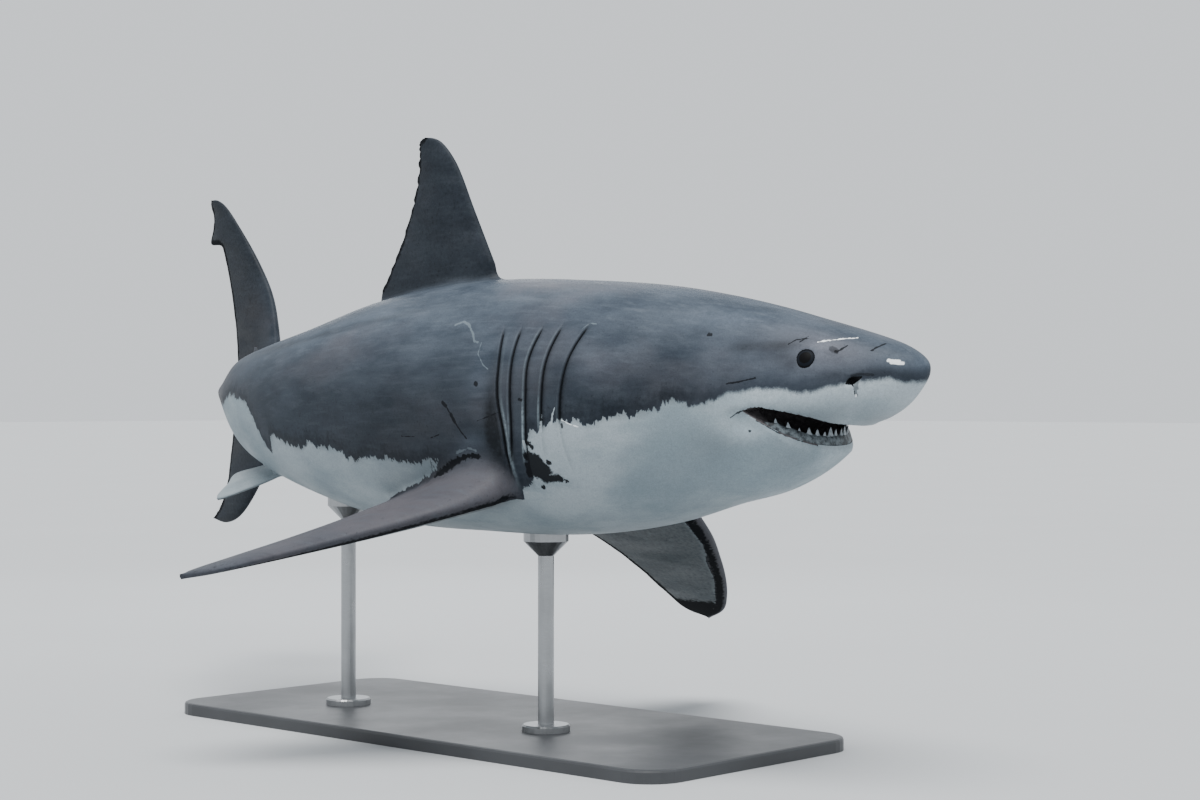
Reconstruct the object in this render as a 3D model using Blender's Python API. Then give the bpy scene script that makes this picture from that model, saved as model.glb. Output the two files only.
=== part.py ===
# A great white shark as a still, life-size display model on a stand.
#
# The body is described straight, in shares of the total length: "back" is the
# distance behind the snout tip, "left" the distance from the middle plane, and
# "up" the height over the body axis. bend() lays that straight body along the
# swimming curve, in metres. The empty "shark" then banks it and carries it over
# the stand. The head points along +X, the back is up, and the middle of the
# base's underside is the origin.
import math

import bmesh
import bpy
import numpy as np
from mathutils import Vector

# ---- driving dimensions (metres) ----
TOTAL_LENGTH = 4.3
AXIS_HEIGHT = 1.10           # body axis over the floor, at the reference station
GAP = 0.0004                 # clearance between neighbouring solids
TRIM_GAP = 0.0008            # clearance of the fins and rods from the body's curved skin

# ---- stance ----
REFERENCE_BACK = 0.40        # the station that stands over SHARK_PLACE
SHARK_PLACE = (0.02, -0.13)  # x and y of that station, in metres
LEFT_SIDE_UP = math.radians(2.9)
NOSE_UP = math.radians(1.2)
# the swimming curve: (turn to the left in degrees, where it starts, where it ends)
HEAD_TURN = (4.0, 0.10, 0.34)
TAIL_TURN = (-50.0, 0.56, 0.78)
FIN_TURN = (40.0, 0.80, 0.88)
TAIL_TWIST = math.radians(4.6)

# ---- body stations: back, top, bottom, half width, height of the widest point ----
STATIONS = (
    (0.000, 0.0030, 0.0030, 0.0000, 0.003),    # snout tip
    (0.010, 0.0140, -0.0115, 0.0135, 0.002),
    (0.035, 0.0240, -0.0258, 0.0270, -0.002),  # nostrils
    (0.068, 0.0340, -0.0460, 0.0385, -0.004),  # eyes
    (0.110, 0.0462, -0.0735, 0.0490, -0.010),  # corners of the mouth
    (0.155, 0.0570, -0.0840, 0.0620, -0.014),
    (0.205, 0.0660, -0.0965, 0.0780, -0.014),  # ahead of the gill slits
    (0.270, 0.0730, -0.1045, 0.0880, -0.014),
    (0.370, 0.0785, -0.1045, 0.0860, -0.012),  # first dorsal fin
    (0.470, 0.0715, -0.0985, 0.0780, -0.010),
    (0.570, 0.0510, -0.0755, 0.0620, -0.010),  # pelvic fins
    (0.630, 0.0405, -0.0570, 0.0430, -0.006),
    (0.700, 0.0315, -0.0350, 0.0260, 0.003),   # second dorsal fin
    (0.770, 0.0215, -0.0215, 0.0205, 0.003),   # keels
    (0.820, 0.0150, -0.0150, 0.0165, 0.000),
    (0.900, 0.0060, -0.0060, 0.0080, 0.000),
)
ROUNDNESS = 2.15             # exponent of the body's cross section, 2 is an ellipse
RING_SIDES = 32
KEEL = dict(back=0.765, reach=0.070, width=0.013, sharpness=14)

# ---- body lengths, each a node: name, first station, last station, rings ----
BODY_LENGTHS = (
    ("head", 0.000, 0.205, 13),
    ("gill_region", 0.205, 0.300, 7),
    ("fore_trunk", 0.300, 0.450, 7),
    ("rear_trunk", 0.450, 0.610, 7),
    ("tail_stock", 0.610, 0.735, 7),
    ("peduncle", 0.735, 0.850, 7),
)
SNOUT_RING = 0.0012          # the first ring behind the snout tip

# ---- mouth, in the side view: (back, up) ----
MOUTH_CORNER = (0.1100, -0.0188)
UPPER_LIP = ((0.1040, -0.0176), (0.0940, -0.0190), (0.0800, -0.0223),
             (0.0670, -0.0260), (0.0590, -0.0292), (0.0500, -0.0318), (0.0400, -0.0370))
LOWER_LIP = ((0.1030, -0.0256), (0.0915, -0.0330), (0.0820, -0.0385),
             (0.0750, -0.0425), (0.0660, -0.0450), (0.0500, -0.0465))
THROAT = (0.1500, -0.1200)   # the jaw parts from the head from here to the corner
BELOW_CHIN = (0.0400, -0.1200)
MOUTH_HALF_WIDTH = 0.09      # of the cutters, wider than the head
# lower jaw stations, as for the body, up to where it is the body's own shape
JAW_STATIONS = (
    (0.0680, -0.0480, -0.0480, 0.0000, -0.0480),
    (0.0715, -0.0350, -0.0535, 0.0150, -0.0470),
    (0.0785, -0.0250, -0.0586, 0.0265, -0.0440),
    (0.0890, -0.0100, -0.0652, 0.0375, -0.0400),
    (0.0990, 0.0100, -0.0697, 0.0442, -0.0280),
)
JAW_FRONT_RING = 0.0686
JAW_END = 0.160
JAW_RINGS = 12
GUM = dict(front=0.0728, reach=0.0290, half_width=0.0415, curve=2.3,
           thickness=0.0030, top=0.7, foot=0.0030, height=0.0060, rings=17)
TOOTH = dict(height=0.0060, width=0.0062, thickness=0.0020, pairs=8,
             first=0.12, last=0.90, side=0.45, sunk=0.2)

# ---- eyes ----
EYE = dict(back=0.0698, up=0.0121, radius=0.031, depth=0.016, sunk=0.008,
           sides=16, rings=8, normal_step=0.004)

# ---- gill slits: back at the top, middle and bottom of each ----
GILL_SLITS = (
    (0.2215, 0.2330, 0.2265),
    (0.2405, 0.2455, 0.2420),
    (0.2575, 0.2580, 0.2560),
    (0.2740, 0.2710, 0.2705),
    (0.2880, 0.2825, 0.2880),
)
SLIT_TOP = 0.0410
SLIT_BOTTOM = -0.0620
SLIT_WIDTH = 0.0030
SLIT_DEPTH = 0.0045
SLIT_STEPS = 6
SLIT_END = 0.045             # share of the half wave by which a slit's ends are cut short

# ---- fins: outlines as (back, height), leading edge and trailing edge, root to tip ----
FIN_SIDES = 16
FIN_EDGE = 0.0003            # half thickness along the thin rims
FIN_ROW_GATHER = 1.6         # above 1, the rows of a fin gather towards its tip
FIN_THINNING = 1.2           # how its thickness falls from root to tip
FOIL_TERMS = (0.2969, -0.1260, -0.3516, 0.2843, -0.1036)  # of sqrt(c), c, c^2, c^3 and c^4
FOIL_THICKEST = 0.10
FIRST_DORSAL = dict(
    lead=((.3550, .0600), (.3680, .0890), (.3870, .1310), (.4040, .1680), (.4180, .1835),
          (.4330, .1890)),
    trail=((.4620, .0600), (.4970, .0700), (.4870, .0840), (.4640, .1190), (.4465, .1540),
           (.4415, .1780), (.4330, .1890)),
    root=0.0075, tip=0.0012, rows=11)
SECOND_DORSAL = dict(
    lead=((.7120, .0150), (.7220, .0300), (.7330, .0400), (.7380, .0420)),
    trail=((.7300, .0150), (.7510, .0270), (.7440, .0330), (.7400, .0400), (.7380, .0420)),
    root=0.0022, tip=0.0006, rows=6)
ANAL = dict(
    lead=((.7280, -.0140), (.7380, -.0290), (.7490, -.0390), (.7540, -.0410)),
    trail=((.7460, -.0140), (.7670, -.0250), (.7600, -.0320), (.7560, -.0390), (.7540, -.0410)),
    root=0.0022, tip=0.0006, rows=6)
CAUDAL_UPPER = dict(
    lead=((.8180, .0000), (.8360, .0450), (.8550, .0850), (.8800, .1160), (.9230, .1560),
          (.9520, .1780), (.9770, .1860)),
    trail=((.9180, .0000), (.9220, .0450), (.9340, .0920), (.9500, .1300), (.9565, .1400),
           (.9785, .1440), (.9740, .1580), (.9745, .1700), (.9770, .1860)),
    root=0.0070, tip=0.0012, rows=14)
CAUDAL_LOWER = dict(
    lead=((.8200, .0000), (.8400, -.0350), (.8630, -.0700), (.8940, -.1020), (.9150, -.1155),
          (.9380, -.1205), (.9620, -.1170)),
    trail=((.9180, .0000), (.9250, -.0300), (.9310, -.0570), (.9360, -.0820), (.9470, -.1030),
           (.9620, -.1170)),
    root=0.0070, tip=0.0012, rows=11)
# paired fins: outlines as (back, out) from the root point, which lies in the body
PECTORAL = dict(
    at=(.2753, .0539, -.0620),
    lead=((.000, .000), (.001, .050), (.012, .098), (.030, .136), (.046, .165), (.066, .195),
          (.086, .218), (.110, .2310)),
    trail=((.105, .000), (.146, .030), (.142, .062), (.128, .105), (.1235, .146), (.125, .186),
           (.124, .2180), (.110, .2310)),
    root=0.0115, tip=0.0015, rows=12)
PELVIC = dict(
    at=(.5900, .0150, -.0560),
    lead=((.000, .000), (.010, .018), (.026, .034), (.040, .046), (.046, .048)),
    trail=((.045, .000), (.078, .014), (.064, .026), (.054, .042), (.046, .048)),
    root=0.0035, tip=0.0008, rows=7)
# how each paired fin is held, in degrees: droop, twist (leading edge up), sweep back
HELD = dict(
    pectoral_fin_right=(PECTORAL, -1, (11.0, 5.5, 15.0)),
    pectoral_fin_left=(PECTORAL, 1, (35.0, 2.0, 0.0)),
    pelvic_fin_right=(PELVIC, -1, (30.0, 0.0, 0.0)),
    pelvic_fin_left=(PELVIC, 1, (30.0, 0.0, 0.0)),
)

# ---- stand (metres) ----
BASE_SIZE = (2.20, 0.95, 0.040)
BASE_CORNER = 0.12
BASE_EDGE = 0.008
BASE_CORNER_STEPS = 8
ROD_DIAMETER = 0.050
ROD_STATIONS = dict(stand_rod_front=0.330, stand_rod_rear=0.545)
ROD_SIDES = 24
COLLAR = dict(radius=0.075, height=0.022, bevel=0.005)
CRADLE = dict(radius=0.070, height=0.025)
ROD_OVERRUN = 0.05           # of the rod into the belly, before the body trims it

COLOURS = dict(
    back_skin=((0.110, 0.125, 0.150), 0.55, 0.0),
    belly_skin=((0.560, 0.600, 0.620), 0.55, 0.0),
    fin_skin=((0.095, 0.105, 0.125), 0.55, 0.0),
    eye_glass=((0.004, 0.004, 0.005), 0.08, 0.0),
    stand_paint=((0.030, 0.032, 0.036), 0.45, 0.0),
    stand_metal=((0.180, 0.185, 0.190), 0.35, 1.0),
)


# ---------------------------------------------------------------- curves
def smooth_curve(positions, values, at):
    """A smooth curve through (position, value) pairs, read at one or more positions."""
    x = np.asarray(positions, float)
    y = np.asarray(values, float)
    at = np.asarray(at, float)
    step = np.diff(x)
    slope = np.diff(y) / step
    tangent = np.empty_like(y)
    tangent[0] = slope[0]
    tangent[-1] = slope[-1]
    tangent[1:-1] = (slope[:-1] * step[1:] + slope[1:] * step[:-1]) / (step[1:] + step[:-1])
    k = np.clip(np.searchsorted(x, at) - 1, 0, len(x) - 2)
    t = (at - x[k]) / step[k]
    start = (1 + 2 * t) * (1 - t) ** 2 * y[k] + t * (1 - t) ** 2 * step[k] * tangent[k]
    end = t * t * (3 - 2 * t) * y[k + 1] + t * t * (t - 1) * step[k] * tangent[k + 1]
    return start + end


def outline_curve(points, at):
    """A smooth line through points, read at shares of its way from 0 to 1."""
    points = np.asarray(points, float)
    legs = np.sqrt(np.linalg.norm(np.diff(points, axis=0), axis=1))
    way = np.concatenate([[0], np.cumsum(legs)])
    way /= way[-1]
    return np.stack([smooth_curve(way, points[:, i], at) for i in range(points.shape[1])], -1)


def ease(value, start, end):
    t = np.clip((value - start) / (end - start), 0, 1)
    return t * t * (3 - 2 * t)


# ---------------------------------------------------------------- the swimming curve
AXIS_BACK = np.linspace(0, 1.05, 631)


def turned(turn):
    degrees, start, end = turn
    return math.radians(degrees) * ease(AXIS_BACK, start, end)


head_left = math.radians(HEAD_TURN[0]) - turned(HEAD_TURN)
AXIS_HEADING = head_left + turned(TAIL_TURN) + turned(FIN_TURN)


def run(share_of_step):
    """Distance covered along the axis, counted from the reference station."""
    middle = (share_of_step[1:] + share_of_step[:-1]) / 2 * (AXIS_BACK[1] - AXIS_BACK[0])
    covered = np.concatenate([[0], np.cumsum(middle)])
    return np.interp(REFERENCE_BACK, AXIS_BACK, covered) - covered


AXIS_X = run(np.cos(AXIS_HEADING))
AXIS_Y = run(np.sin(AXIS_HEADING))


def bend(straight):
    """Straight body coordinates (back, left, up) to metres in the shark's frame."""
    straight = np.asarray(straight, float)
    back, left, up = straight[..., 0], straight[..., 1], straight[..., 2]
    heading = np.interp(back, AXIS_BACK, AXIS_HEADING)
    x = np.interp(back, AXIS_BACK, AXIS_X) - np.sin(heading) * left
    y = np.interp(back, AXIS_BACK, AXIS_Y) + np.cos(heading) * left
    return TOTAL_LENGTH * np.stack([x, y, up], -1)


# ---------------------------------------------------------------- cross sections
def section(stations, back, sides=RING_SIDES, grown=0.0):
    """One cross section's points (back, left, up), from the left side over the back."""
    table = np.array(stations)
    ahead = np.sqrt(table[:, 0] - table[0, 0])
    here = math.sqrt(back - table[0, 0])
    top, bottom, half, widest = (float(smooth_curve(ahead, table[:, i], here)) for i in range(1, 5))
    top, bottom, half = top + grown, bottom - grown, half + grown
    angle = 2 * math.pi * np.arange(sides) / sides
    across, over = np.cos(angle), np.sin(angle)
    side = np.sign(np.round(across, 9))
    left = half * side * np.abs(across) ** (2 / ROUNDNESS)
    height = np.where(over > 0, top - widest, widest - bottom)
    up = widest + height * np.sign(over) * np.abs(over) ** (2 / ROUNDNESS)
    ridge = math.exp(-((back - KEEL["back"]) / KEEL["reach"]) ** 2) * KEEL["width"]
    left = left + side * ridge * np.abs(across) ** KEEL["sharpness"]
    return np.stack([np.full(sides, back), left, up], -1)


def half_width_at(back, up, stations=STATIONS):
    """How far the body's side lies from the middle plane at one height."""
    ring = section(stations, back, sides=256)
    right_half = ring[ring[:, 1] <= 0]
    order = np.argsort(right_half[:, 2])
    return float(np.interp(up, right_half[order, 2], -right_half[order, 1]))


# ---------------------------------------------------------------- solids
def new_object(name, bm, material=None):
    bmesh.ops.recalc_face_normals(bm, faces=bm.faces)
    mesh = bpy.data.meshes.new(name)
    bm.to_mesh(mesh)
    bm.free()
    obj = bpy.data.objects.new(name, mesh)
    bpy.context.scene.collection.objects.link(obj)
    if material:
        mesh.materials.append(materials[material])
        mesh.shade_smooth()
        mesh.set_sharp_from_angle(angle=math.radians(40))
    else:
        obj.hide_render = True
        obj.display_type = "WIRE"
    return obj


def loft(rings, first_tip=None, last_tip=None):
    """A closed skin over rings of points. A tip closes an end in a point, else it is flat."""
    bm = bmesh.new()
    ring = [bm.verts.new(point) for point in rings[0]]
    edges = [bm.edges.new((a, b)) for a, b in zip(ring, ring[1:] + ring[:1])]
    first_edges = edges
    for points in rings[1:]:
        made = bmesh.ops.extrude_edge_only(bm, edges=edges)["geom"]
        new_verts = {v for v in made if isinstance(v, bmesh.types.BMVert)}
        ring = [next(e.other_vert(v) for e in v.link_edges if e.other_vert(v) in new_verts)
                for v in ring]
        for vert, point in zip(ring, points):
            vert.co = point
        edges = [e for e in made if isinstance(e, bmesh.types.BMEdge)
                 and e.verts[0] in new_verts and e.verts[1] in new_verts]
    for end_edges, tip in ((first_edges, first_tip), (edges, last_tip)):
        if tip is None:
            bmesh.ops.holes_fill(bm, edges=end_edges, sides=0)
        else:
            made = bmesh.ops.extrude_edge_only(bm, edges=end_edges)["geom"]
            tip_verts = [v for v in made if isinstance(v, bmesh.types.BMVert)]
            bmesh.ops.pointmerge(bm, verts=tip_verts, merge_co=tip)
    return bm


def prism(outline, half_width):
    """A side view outline (back, up), carried across the body, bent with it."""
    sides = (-half_width, half_width)
    return loft([bend([(back, left, up) for back, up in outline]) for left in sides])


def boolean(obj, operation, other):
    modifier = obj.modifiers.new(operation.lower() + "_" + other.name, "BOOLEAN")
    modifier.operation = operation
    modifier.object = other
    modifier.solver = "EXACT"


# ---------------------------------------------------------------- body
def ring_places(first, last, count):
    """Stations of one body length's rings, closer together towards the snout."""
    start = math.sqrt(max(first, SNOUT_RING))
    return np.linspace(start, math.sqrt(last), count) ** 2


def body_rings(first, last, count, grown=0.0):
    return [bend(section(STATIONS, back, grown=grown)) for back in ring_places(first, last, count)]


def make_body():
    half_gap = GAP / 2 / TOTAL_LENGTH
    snout_tip = bend(STATIONS[0][:1] + (0.0, STATIONS[0][1]))
    for name, first, last, count in BODY_LENGTHS:
        tip = snout_tip if first == 0 else None
        bm = loft(body_rings(first + half_gap, last - half_gap, count), first_tip=tip)
        parts[name] = new_object(name, bm, "back_skin")


def make_body_cutter():
    """The whole body, a little larger all round, which trims whatever touches it."""
    rings = []
    for name, first, last, count in BODY_LENGTHS:
        rings += body_rings(first, last, count, grown=TRIM_GAP / TOTAL_LENGTH)[1 if rings else 0:]
    snout_tip = bend((-TRIM_GAP / TOTAL_LENGTH, 0.0, STATIONS[0][1]))
    cutters["body"] = new_object("body_cutter", loft(rings, first_tip=snout_tip))


# ---------------------------------------------------------------- mouth
def make_mouth():
    """Cuts the open mouth and the jaw's place out of the head, and fits the lower jaw there."""
    opening = (MOUTH_CORNER,) + UPPER_LIP + (BELOW_CHIN, THROAT)
    cutters["mouth"] = new_object("mouth_cutter", prism(opening, MOUTH_HALF_WIDTH))
    boolean(parts["head"], "DIFFERENCE", cutters["mouth"])

    whole_jaw = JAW_STATIONS + tuple(s for s in STATIONS if s[0] > JAW_STATIONS[-1][0])
    front = JAW_STATIONS[0][0]
    reach = np.linspace(math.sqrt(JAW_FRONT_RING - front), math.sqrt(JAW_END - front), JAW_RINGS)
    rings = [bend(section(whole_jaw, back)) for back in front + reach ** 2]
    chin = bend((front, 0.0, JAW_STATIONS[0][1]))
    jaw = new_object("lower_jaw", loft(rings, first_tip=chin), "belly_skin")
    parts["lower_jaw"] = jaw

    inset = GAP / TOTAL_LENGTH
    corner = (MOUTH_CORNER[0] - 2 * inset, MOUTH_CORNER[1] - inset)
    hinge = (THROAT[0] - 2 * inset, THROAT[1])
    keep = (corner,) + LOWER_LIP + (BELOW_CHIN, hinge)
    cutters["jaw"] = new_object("jaw_keeper", prism(keep, MOUTH_HALF_WIDTH))
    boolean(jaw, "INTERSECT", cutters["jaw"])
    cutters["gum"] = new_object("gum_arch", gum_arch())
    boolean(jaw, "UNION", cutters["gum"])
    for number, tooth in enumerate(lower_teeth()):
        cutters["tooth"] = new_object("tooth_" + str(number), tooth)
        boolean(jaw, "UNION", cutters["tooth"])


def lip_height(back):
    line = (LOWER_LIP[-1],) + tuple(reversed(LOWER_LIP[:-1])) + (MOUTH_CORNER,)
    return float(np.interp(back, [p[0] for p in line], [p[1] for p in line]))


def gum_place(across):
    """Middle of the gum ridge for a share across the jaw, from -1 on the right to 1."""
    left = GUM["half_width"] * across
    back = GUM["front"] + GUM["reach"] * abs(across) ** GUM["curve"]
    return np.array([back, left])


def gum_run(across):
    """Level directions along the gum ridge and out from it."""
    along = gum_place(across + 0.01) - gum_place(across - 0.01)
    along /= np.linalg.norm(along)
    return along, np.array([-along[1], along[0]])


def gum_arch():
    """The ridge that carries the lower teeth, round the inside of the lip."""
    rings = []
    for across in np.linspace(-1, 1, GUM["rings"]):
        middle = gum_place(across)
        out = gum_run(across)[1] * GUM["thickness"]
        lip = lip_height(middle[0])
        low, high = lip - GUM["foot"], lip + GUM["height"]
        corners = ((1, low), (GUM["top"], high), (-GUM["top"], high), (-1, low))
        rings.append(bend([(*(middle + out * share), up) for share, up in corners]))
    return loft(rings)


def lower_teeth():
    """Flat triangular teeth along the gum, each a low pyramid sunk into it."""
    teeth = []
    shares = np.linspace(TOOTH["first"], TOOTH["last"], TOOTH["pairs"])
    for across in np.concatenate([-shares[::-1], shares]):
        middle = gum_place(across)
        along, out = gum_run(across)
        size = 1 - TOOTH["side"] * abs(across)
        gum_top = lip_height(middle[0]) + GUM["height"]
        foot = gum_top - GUM["height"] * TOOTH["sunk"]
        along = along * TOOTH["width"] / 2 * size
        out = out * TOOTH["thickness"]
        corners = [(*(middle + step), foot) for step in (-along, -out, along, out)]
        point = (*middle, gum_top + TOOTH["height"] * size)
        teeth.append(loft([bend(corners)], last_tip=bend(point)))
    return teeth


# ---------------------------------------------------------------- eyes and gills
def eyeball(name, material, grown):
    bm = bmesh.new()
    bmesh.ops.create_uvsphere(bm, u_segments=EYE["sides"], v_segments=EYE["rings"], radius=1.0)
    across, depth = EYE["radius"] + grown, EYE["depth"] + grown
    bmesh.ops.scale(bm, verts=bm.verts, vec=(across, across, depth))
    return new_object(name, bm, material)


def make_eyes():
    """A flattened ball in a socket on each side, facing along the skin's normal."""
    back, up, step = EYE["back"], EYE["up"], EYE["normal_step"]
    for side, sign in (("left", 1), ("right", -1)):
        centre = bend((back, sign * half_width_at(back, up), up))
        ahead = bend((back - step, sign * half_width_at(back - step, up), up))
        above = bend((back, sign * half_width_at(back, up + step), up + step))
        outward = -sign * np.cross(ahead - centre, above - centre)
        outward /= np.linalg.norm(outward)
        eye = eyeball("eye_" + side, "eye_glass", 0.0)
        socket = eyeball("eye_socket_" + side, None, GAP)
        for ball in (eye, socket):
            ball.matrix_basis = Vector(outward).to_track_quat("Z", "Y").to_matrix().to_4x4()
            ball.location = centre - outward * EYE["sunk"]
        parts[eye.name] = eye
        boolean(parts["head"], "DIFFERENCE", socket)


def make_gill_slits():
    """Five curved grooves in each side of the gill region, cut with wedge-shaped blades."""
    middle_up = (SLIT_TOP + SLIT_BOTTOM) / 2
    shares = np.linspace(0, 1, SLIT_STEPS + 1)
    ups = SLIT_TOP + (SLIT_BOTTOM - SLIT_TOP) * shares
    tapers = np.sin(math.pi * (SLIT_END + (1 - 2 * SLIT_END) * shares)) ** 0.5
    for number, slit in enumerate(GILL_SLITS, 1):
        backs = smooth_curve((-SLIT_TOP, -middle_up, -SLIT_BOTTOM), slit, -ups)
        for side, sign in (("left", 1), ("right", -1)):
            rings = []
            for back, up, taper in zip(backs, ups, tapers):
                skin = half_width_at(back, up)
                deep = skin - SLIT_DEPTH * taper
                out = skin + SLIT_WIDTH
                spread = SLIT_WIDTH / 2 * taper * (out - deep) / (skin - deep)
                rings.append(bend([(back, sign * deep, up), (back - spread, sign * out, up),
                                   (back + spread, sign * out, up)]))
            blade = new_object(f"gill_blade_{number}_{side}", loft(rings))
            boolean(parts["gill_region"], "DIFFERENCE", blade)


# ---------------------------------------------------------------- fins
def foil(chord_share):
    """Half thickness of a streamlined section, 1 at its thickest."""
    powers = np.stack([np.sqrt(chord_share)] + [chord_share ** n for n in (1, 2, 3, 4)], -1)
    return powers @ FOIL_TERMS / FOIL_THICKEST


def fin_rings(shape, to_body):
    """Streamlined sections from root to tip; to_body maps (back, height, thickness)."""
    rows = shape["rows"]
    rise = 1 - (1 - np.linspace(0, 1, rows + 1)) ** FIN_ROW_GATHER
    lead = outline_curve(shape["lead"], rise)
    trail = outline_curve(shape["trail"], rise)
    angle = 2 * math.pi * np.arange(FIN_SIDES) / FIN_SIDES
    chord = (1 - np.cos(angle)) / 2
    side = np.sin(angle)
    rings = []
    for k in range(rows):
        back = lead[k, 0] + (trail[k, 0] - lead[k, 0]) * chord
        height = lead[k, 1] + (trail[k, 1] - lead[k, 1]) * chord
        thick = shape["root"] * (1 - rise[k]) ** FIN_THINNING + shape["tip"]
        half = thick * foil(chord) + FIN_EDGE * np.minimum(1, 3 * np.abs(side))
        rings.append(bend(to_body(back, height, half * np.sign(np.round(side, 9)))))
    tip = bend(to_body(lead[-1, 0], lead[-1, 1], 0.0))
    return rings, tip


def make_middle_fin(name, shape, twist=0.0, root_gap=0.0):
    def to_body(back, height, thickness):
        height = height + root_gap
        left = height * math.sin(twist) + thickness
        return np.stack(np.broadcast_arrays(back, left, height * math.cos(twist)), -1)
    rings, tip = fin_rings(shape, to_body)
    parts[name] = new_object(name, loft(rings, last_tip=tip), "fin_skin")
    boolean(parts[name], "DIFFERENCE", cutters["body"])


def make_paired_fin(name, shape, sign, angles):
    droop, twist, sweep = (math.radians(angle) for angle in angles)
    root_back, root_out, root_up = shape["at"]

    def to_body(back, out, thickness):
        swept_back = back * math.cos(sweep) + out * math.sin(sweep)
        swept_out = out * math.cos(sweep) - back * math.sin(sweep)
        chord = swept_back * math.cos(twist) + thickness * math.sin(twist)
        normal = thickness * math.cos(twist) - swept_back * math.sin(twist)
        out_from_root = swept_out * math.cos(droop) + normal * math.sin(droop)
        up_from_root = normal * math.cos(droop) - swept_out * math.sin(droop)
        left = sign * (root_out + out_from_root)
        return np.stack(np.broadcast_arrays(root_back + chord, left, root_up + up_from_root), -1)
    rings, tip = fin_rings(shape, to_body)
    parts[name] = new_object(name, loft(rings, last_tip=tip), "fin_skin")
    boolean(parts[name], "DIFFERENCE", cutters["body"])


def make_fins():
    half_gap = GAP / 2 / TOTAL_LENGTH
    make_middle_fin("first_dorsal_fin", FIRST_DORSAL)
    make_middle_fin("second_dorsal_fin", SECOND_DORSAL)
    make_middle_fin("anal_fin", ANAL)
    make_middle_fin("caudal_fin_upper", CAUDAL_UPPER, TAIL_TWIST, half_gap)
    make_middle_fin("caudal_fin_lower", CAUDAL_LOWER, TAIL_TWIST, -half_gap)
    for name, held in HELD.items():
        make_paired_fin(name, *held)


# ---------------------------------------------------------------- stand
def make_stand():
    thickness = BASE_SIZE[2]
    bm = bmesh.new()
    bmesh.ops.create_cube(bm, size=1.0)
    bmesh.ops.scale(bm, verts=bm.verts, vec=BASE_SIZE)
    upright = [e for e in bm.edges if abs(e.verts[0].co.z - e.verts[1].co.z) > thickness / 2]
    bmesh.ops.bevel(bm, geom=upright, offset=BASE_CORNER, segments=BASE_CORNER_STEPS, profile=0.5,
                    affect="EDGES")
    rim = [e for e in bm.edges if all(v.co.z > 0 for v in e.verts) and len(e.link_faces) == 2
           and abs(e.link_faces[0].normal.z - e.link_faces[1].normal.z) > 0.5]
    bmesh.ops.bevel(bm, geom=rim, offset=BASE_EDGE, segments=2, profile=0.5, affect="EDGES")
    base = new_object("stand_base", bm, "stand_paint")
    base.location = (0, 0, thickness / 2)
    base.parent = stand
    parts["stand_base"] = base

    for name, back in ROD_STATIONS.items():
        lowest = section(STATIONS, back)[:, 2].min()
        belly = shark.matrix_basis @ Vector(bend((back, 0.0, lowest)))
        rod = turned_rod(name, belly[2] - thickness)
        rod.location = (belly[0], belly[1], thickness + GAP)
        rod.parent = stand
        parts[name] = rod
        boolean(rod, "DIFFERENCE", cutters["body"])


def turned_rod(name, height):
    """A collar, a round rod and a flared cradle under the belly, in one turned piece."""
    radius = ROD_DIAMETER / 2
    collar, collar_top, bevel = COLLAR["radius"], COLLAR["height"], COLLAR["bevel"]
    cradle = CRADLE["radius"]
    rim = height - CRADLE["height"]
    neck = rim - (cradle - radius)
    top = height + ROD_OVERRUN
    profile = ((0, 0), (collar, 0), (collar, collar_top - bevel), (collar - bevel, collar_top),
               (radius, collar_top), (radius, neck), (cradle, rim), (cradle, top), (0, top))
    bm = bmesh.new()
    verts = [bm.verts.new((x, 0, z)) for x, z in profile]
    edges = [bm.edges.new(pair) for pair in zip(verts, verts[1:])]
    bmesh.ops.spin(bm, geom=verts + edges, cent=(0, 0, 0), axis=(0, 0, 1), angle=2 * math.pi,
                   steps=ROD_SIDES, use_merge=True)
    bmesh.ops.remove_doubles(bm, verts=bm.verts, dist=1e-6)
    return new_object(name, bm, "stand_metal")


# ---------------------------------------------------------------- the model
def make_material(name, colour, roughness, metallic):
    material = bpy.data.materials.new(name)
    material.use_nodes = True
    shader = material.node_tree.nodes["Principled BSDF"]
    shader.inputs["Base Color"].default_value = (*colour, 1)
    shader.inputs["Roughness"].default_value = roughness
    shader.inputs["Metallic"].default_value = metallic
    return material


for old in list(bpy.data.objects):
    bpy.data.objects.remove(old, do_unlink=True)

materials = {name: make_material(name, *finish) for name, finish in COLOURS.items()}
parts = {}
cutters = {}
shark = bpy.data.objects.new("shark", None)
stand = bpy.data.objects.new("stand", None)
for empty in (shark, stand):
    bpy.context.scene.collection.objects.link(empty)
shark.location = (*SHARK_PLACE, AXIS_HEIGHT)
shark.rotation_euler = (LEFT_SIDE_UP, -NOSE_UP, 0)

make_body()
make_body_cutter()
make_mouth()
make_eyes()
make_gill_slits()
make_fins()
for obj in bpy.context.scene.objects:
    if obj.type == "MESH":
        obj.parent = shark
bpy.context.view_layer.update()
make_stand()
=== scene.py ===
# The looks of the great white shark model: one skin over body and fins, with eyes, a gum,
# teeth and a finished stand. The skin is made straight, as (back, left, up) in shares of the
# shark's length, then laid along its swimming curve.
import math

import bmesh
import bpy
import numpy as np
from mathutils import Matrix, Vector, noise
from mathutils.kdtree import KDTree


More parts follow.
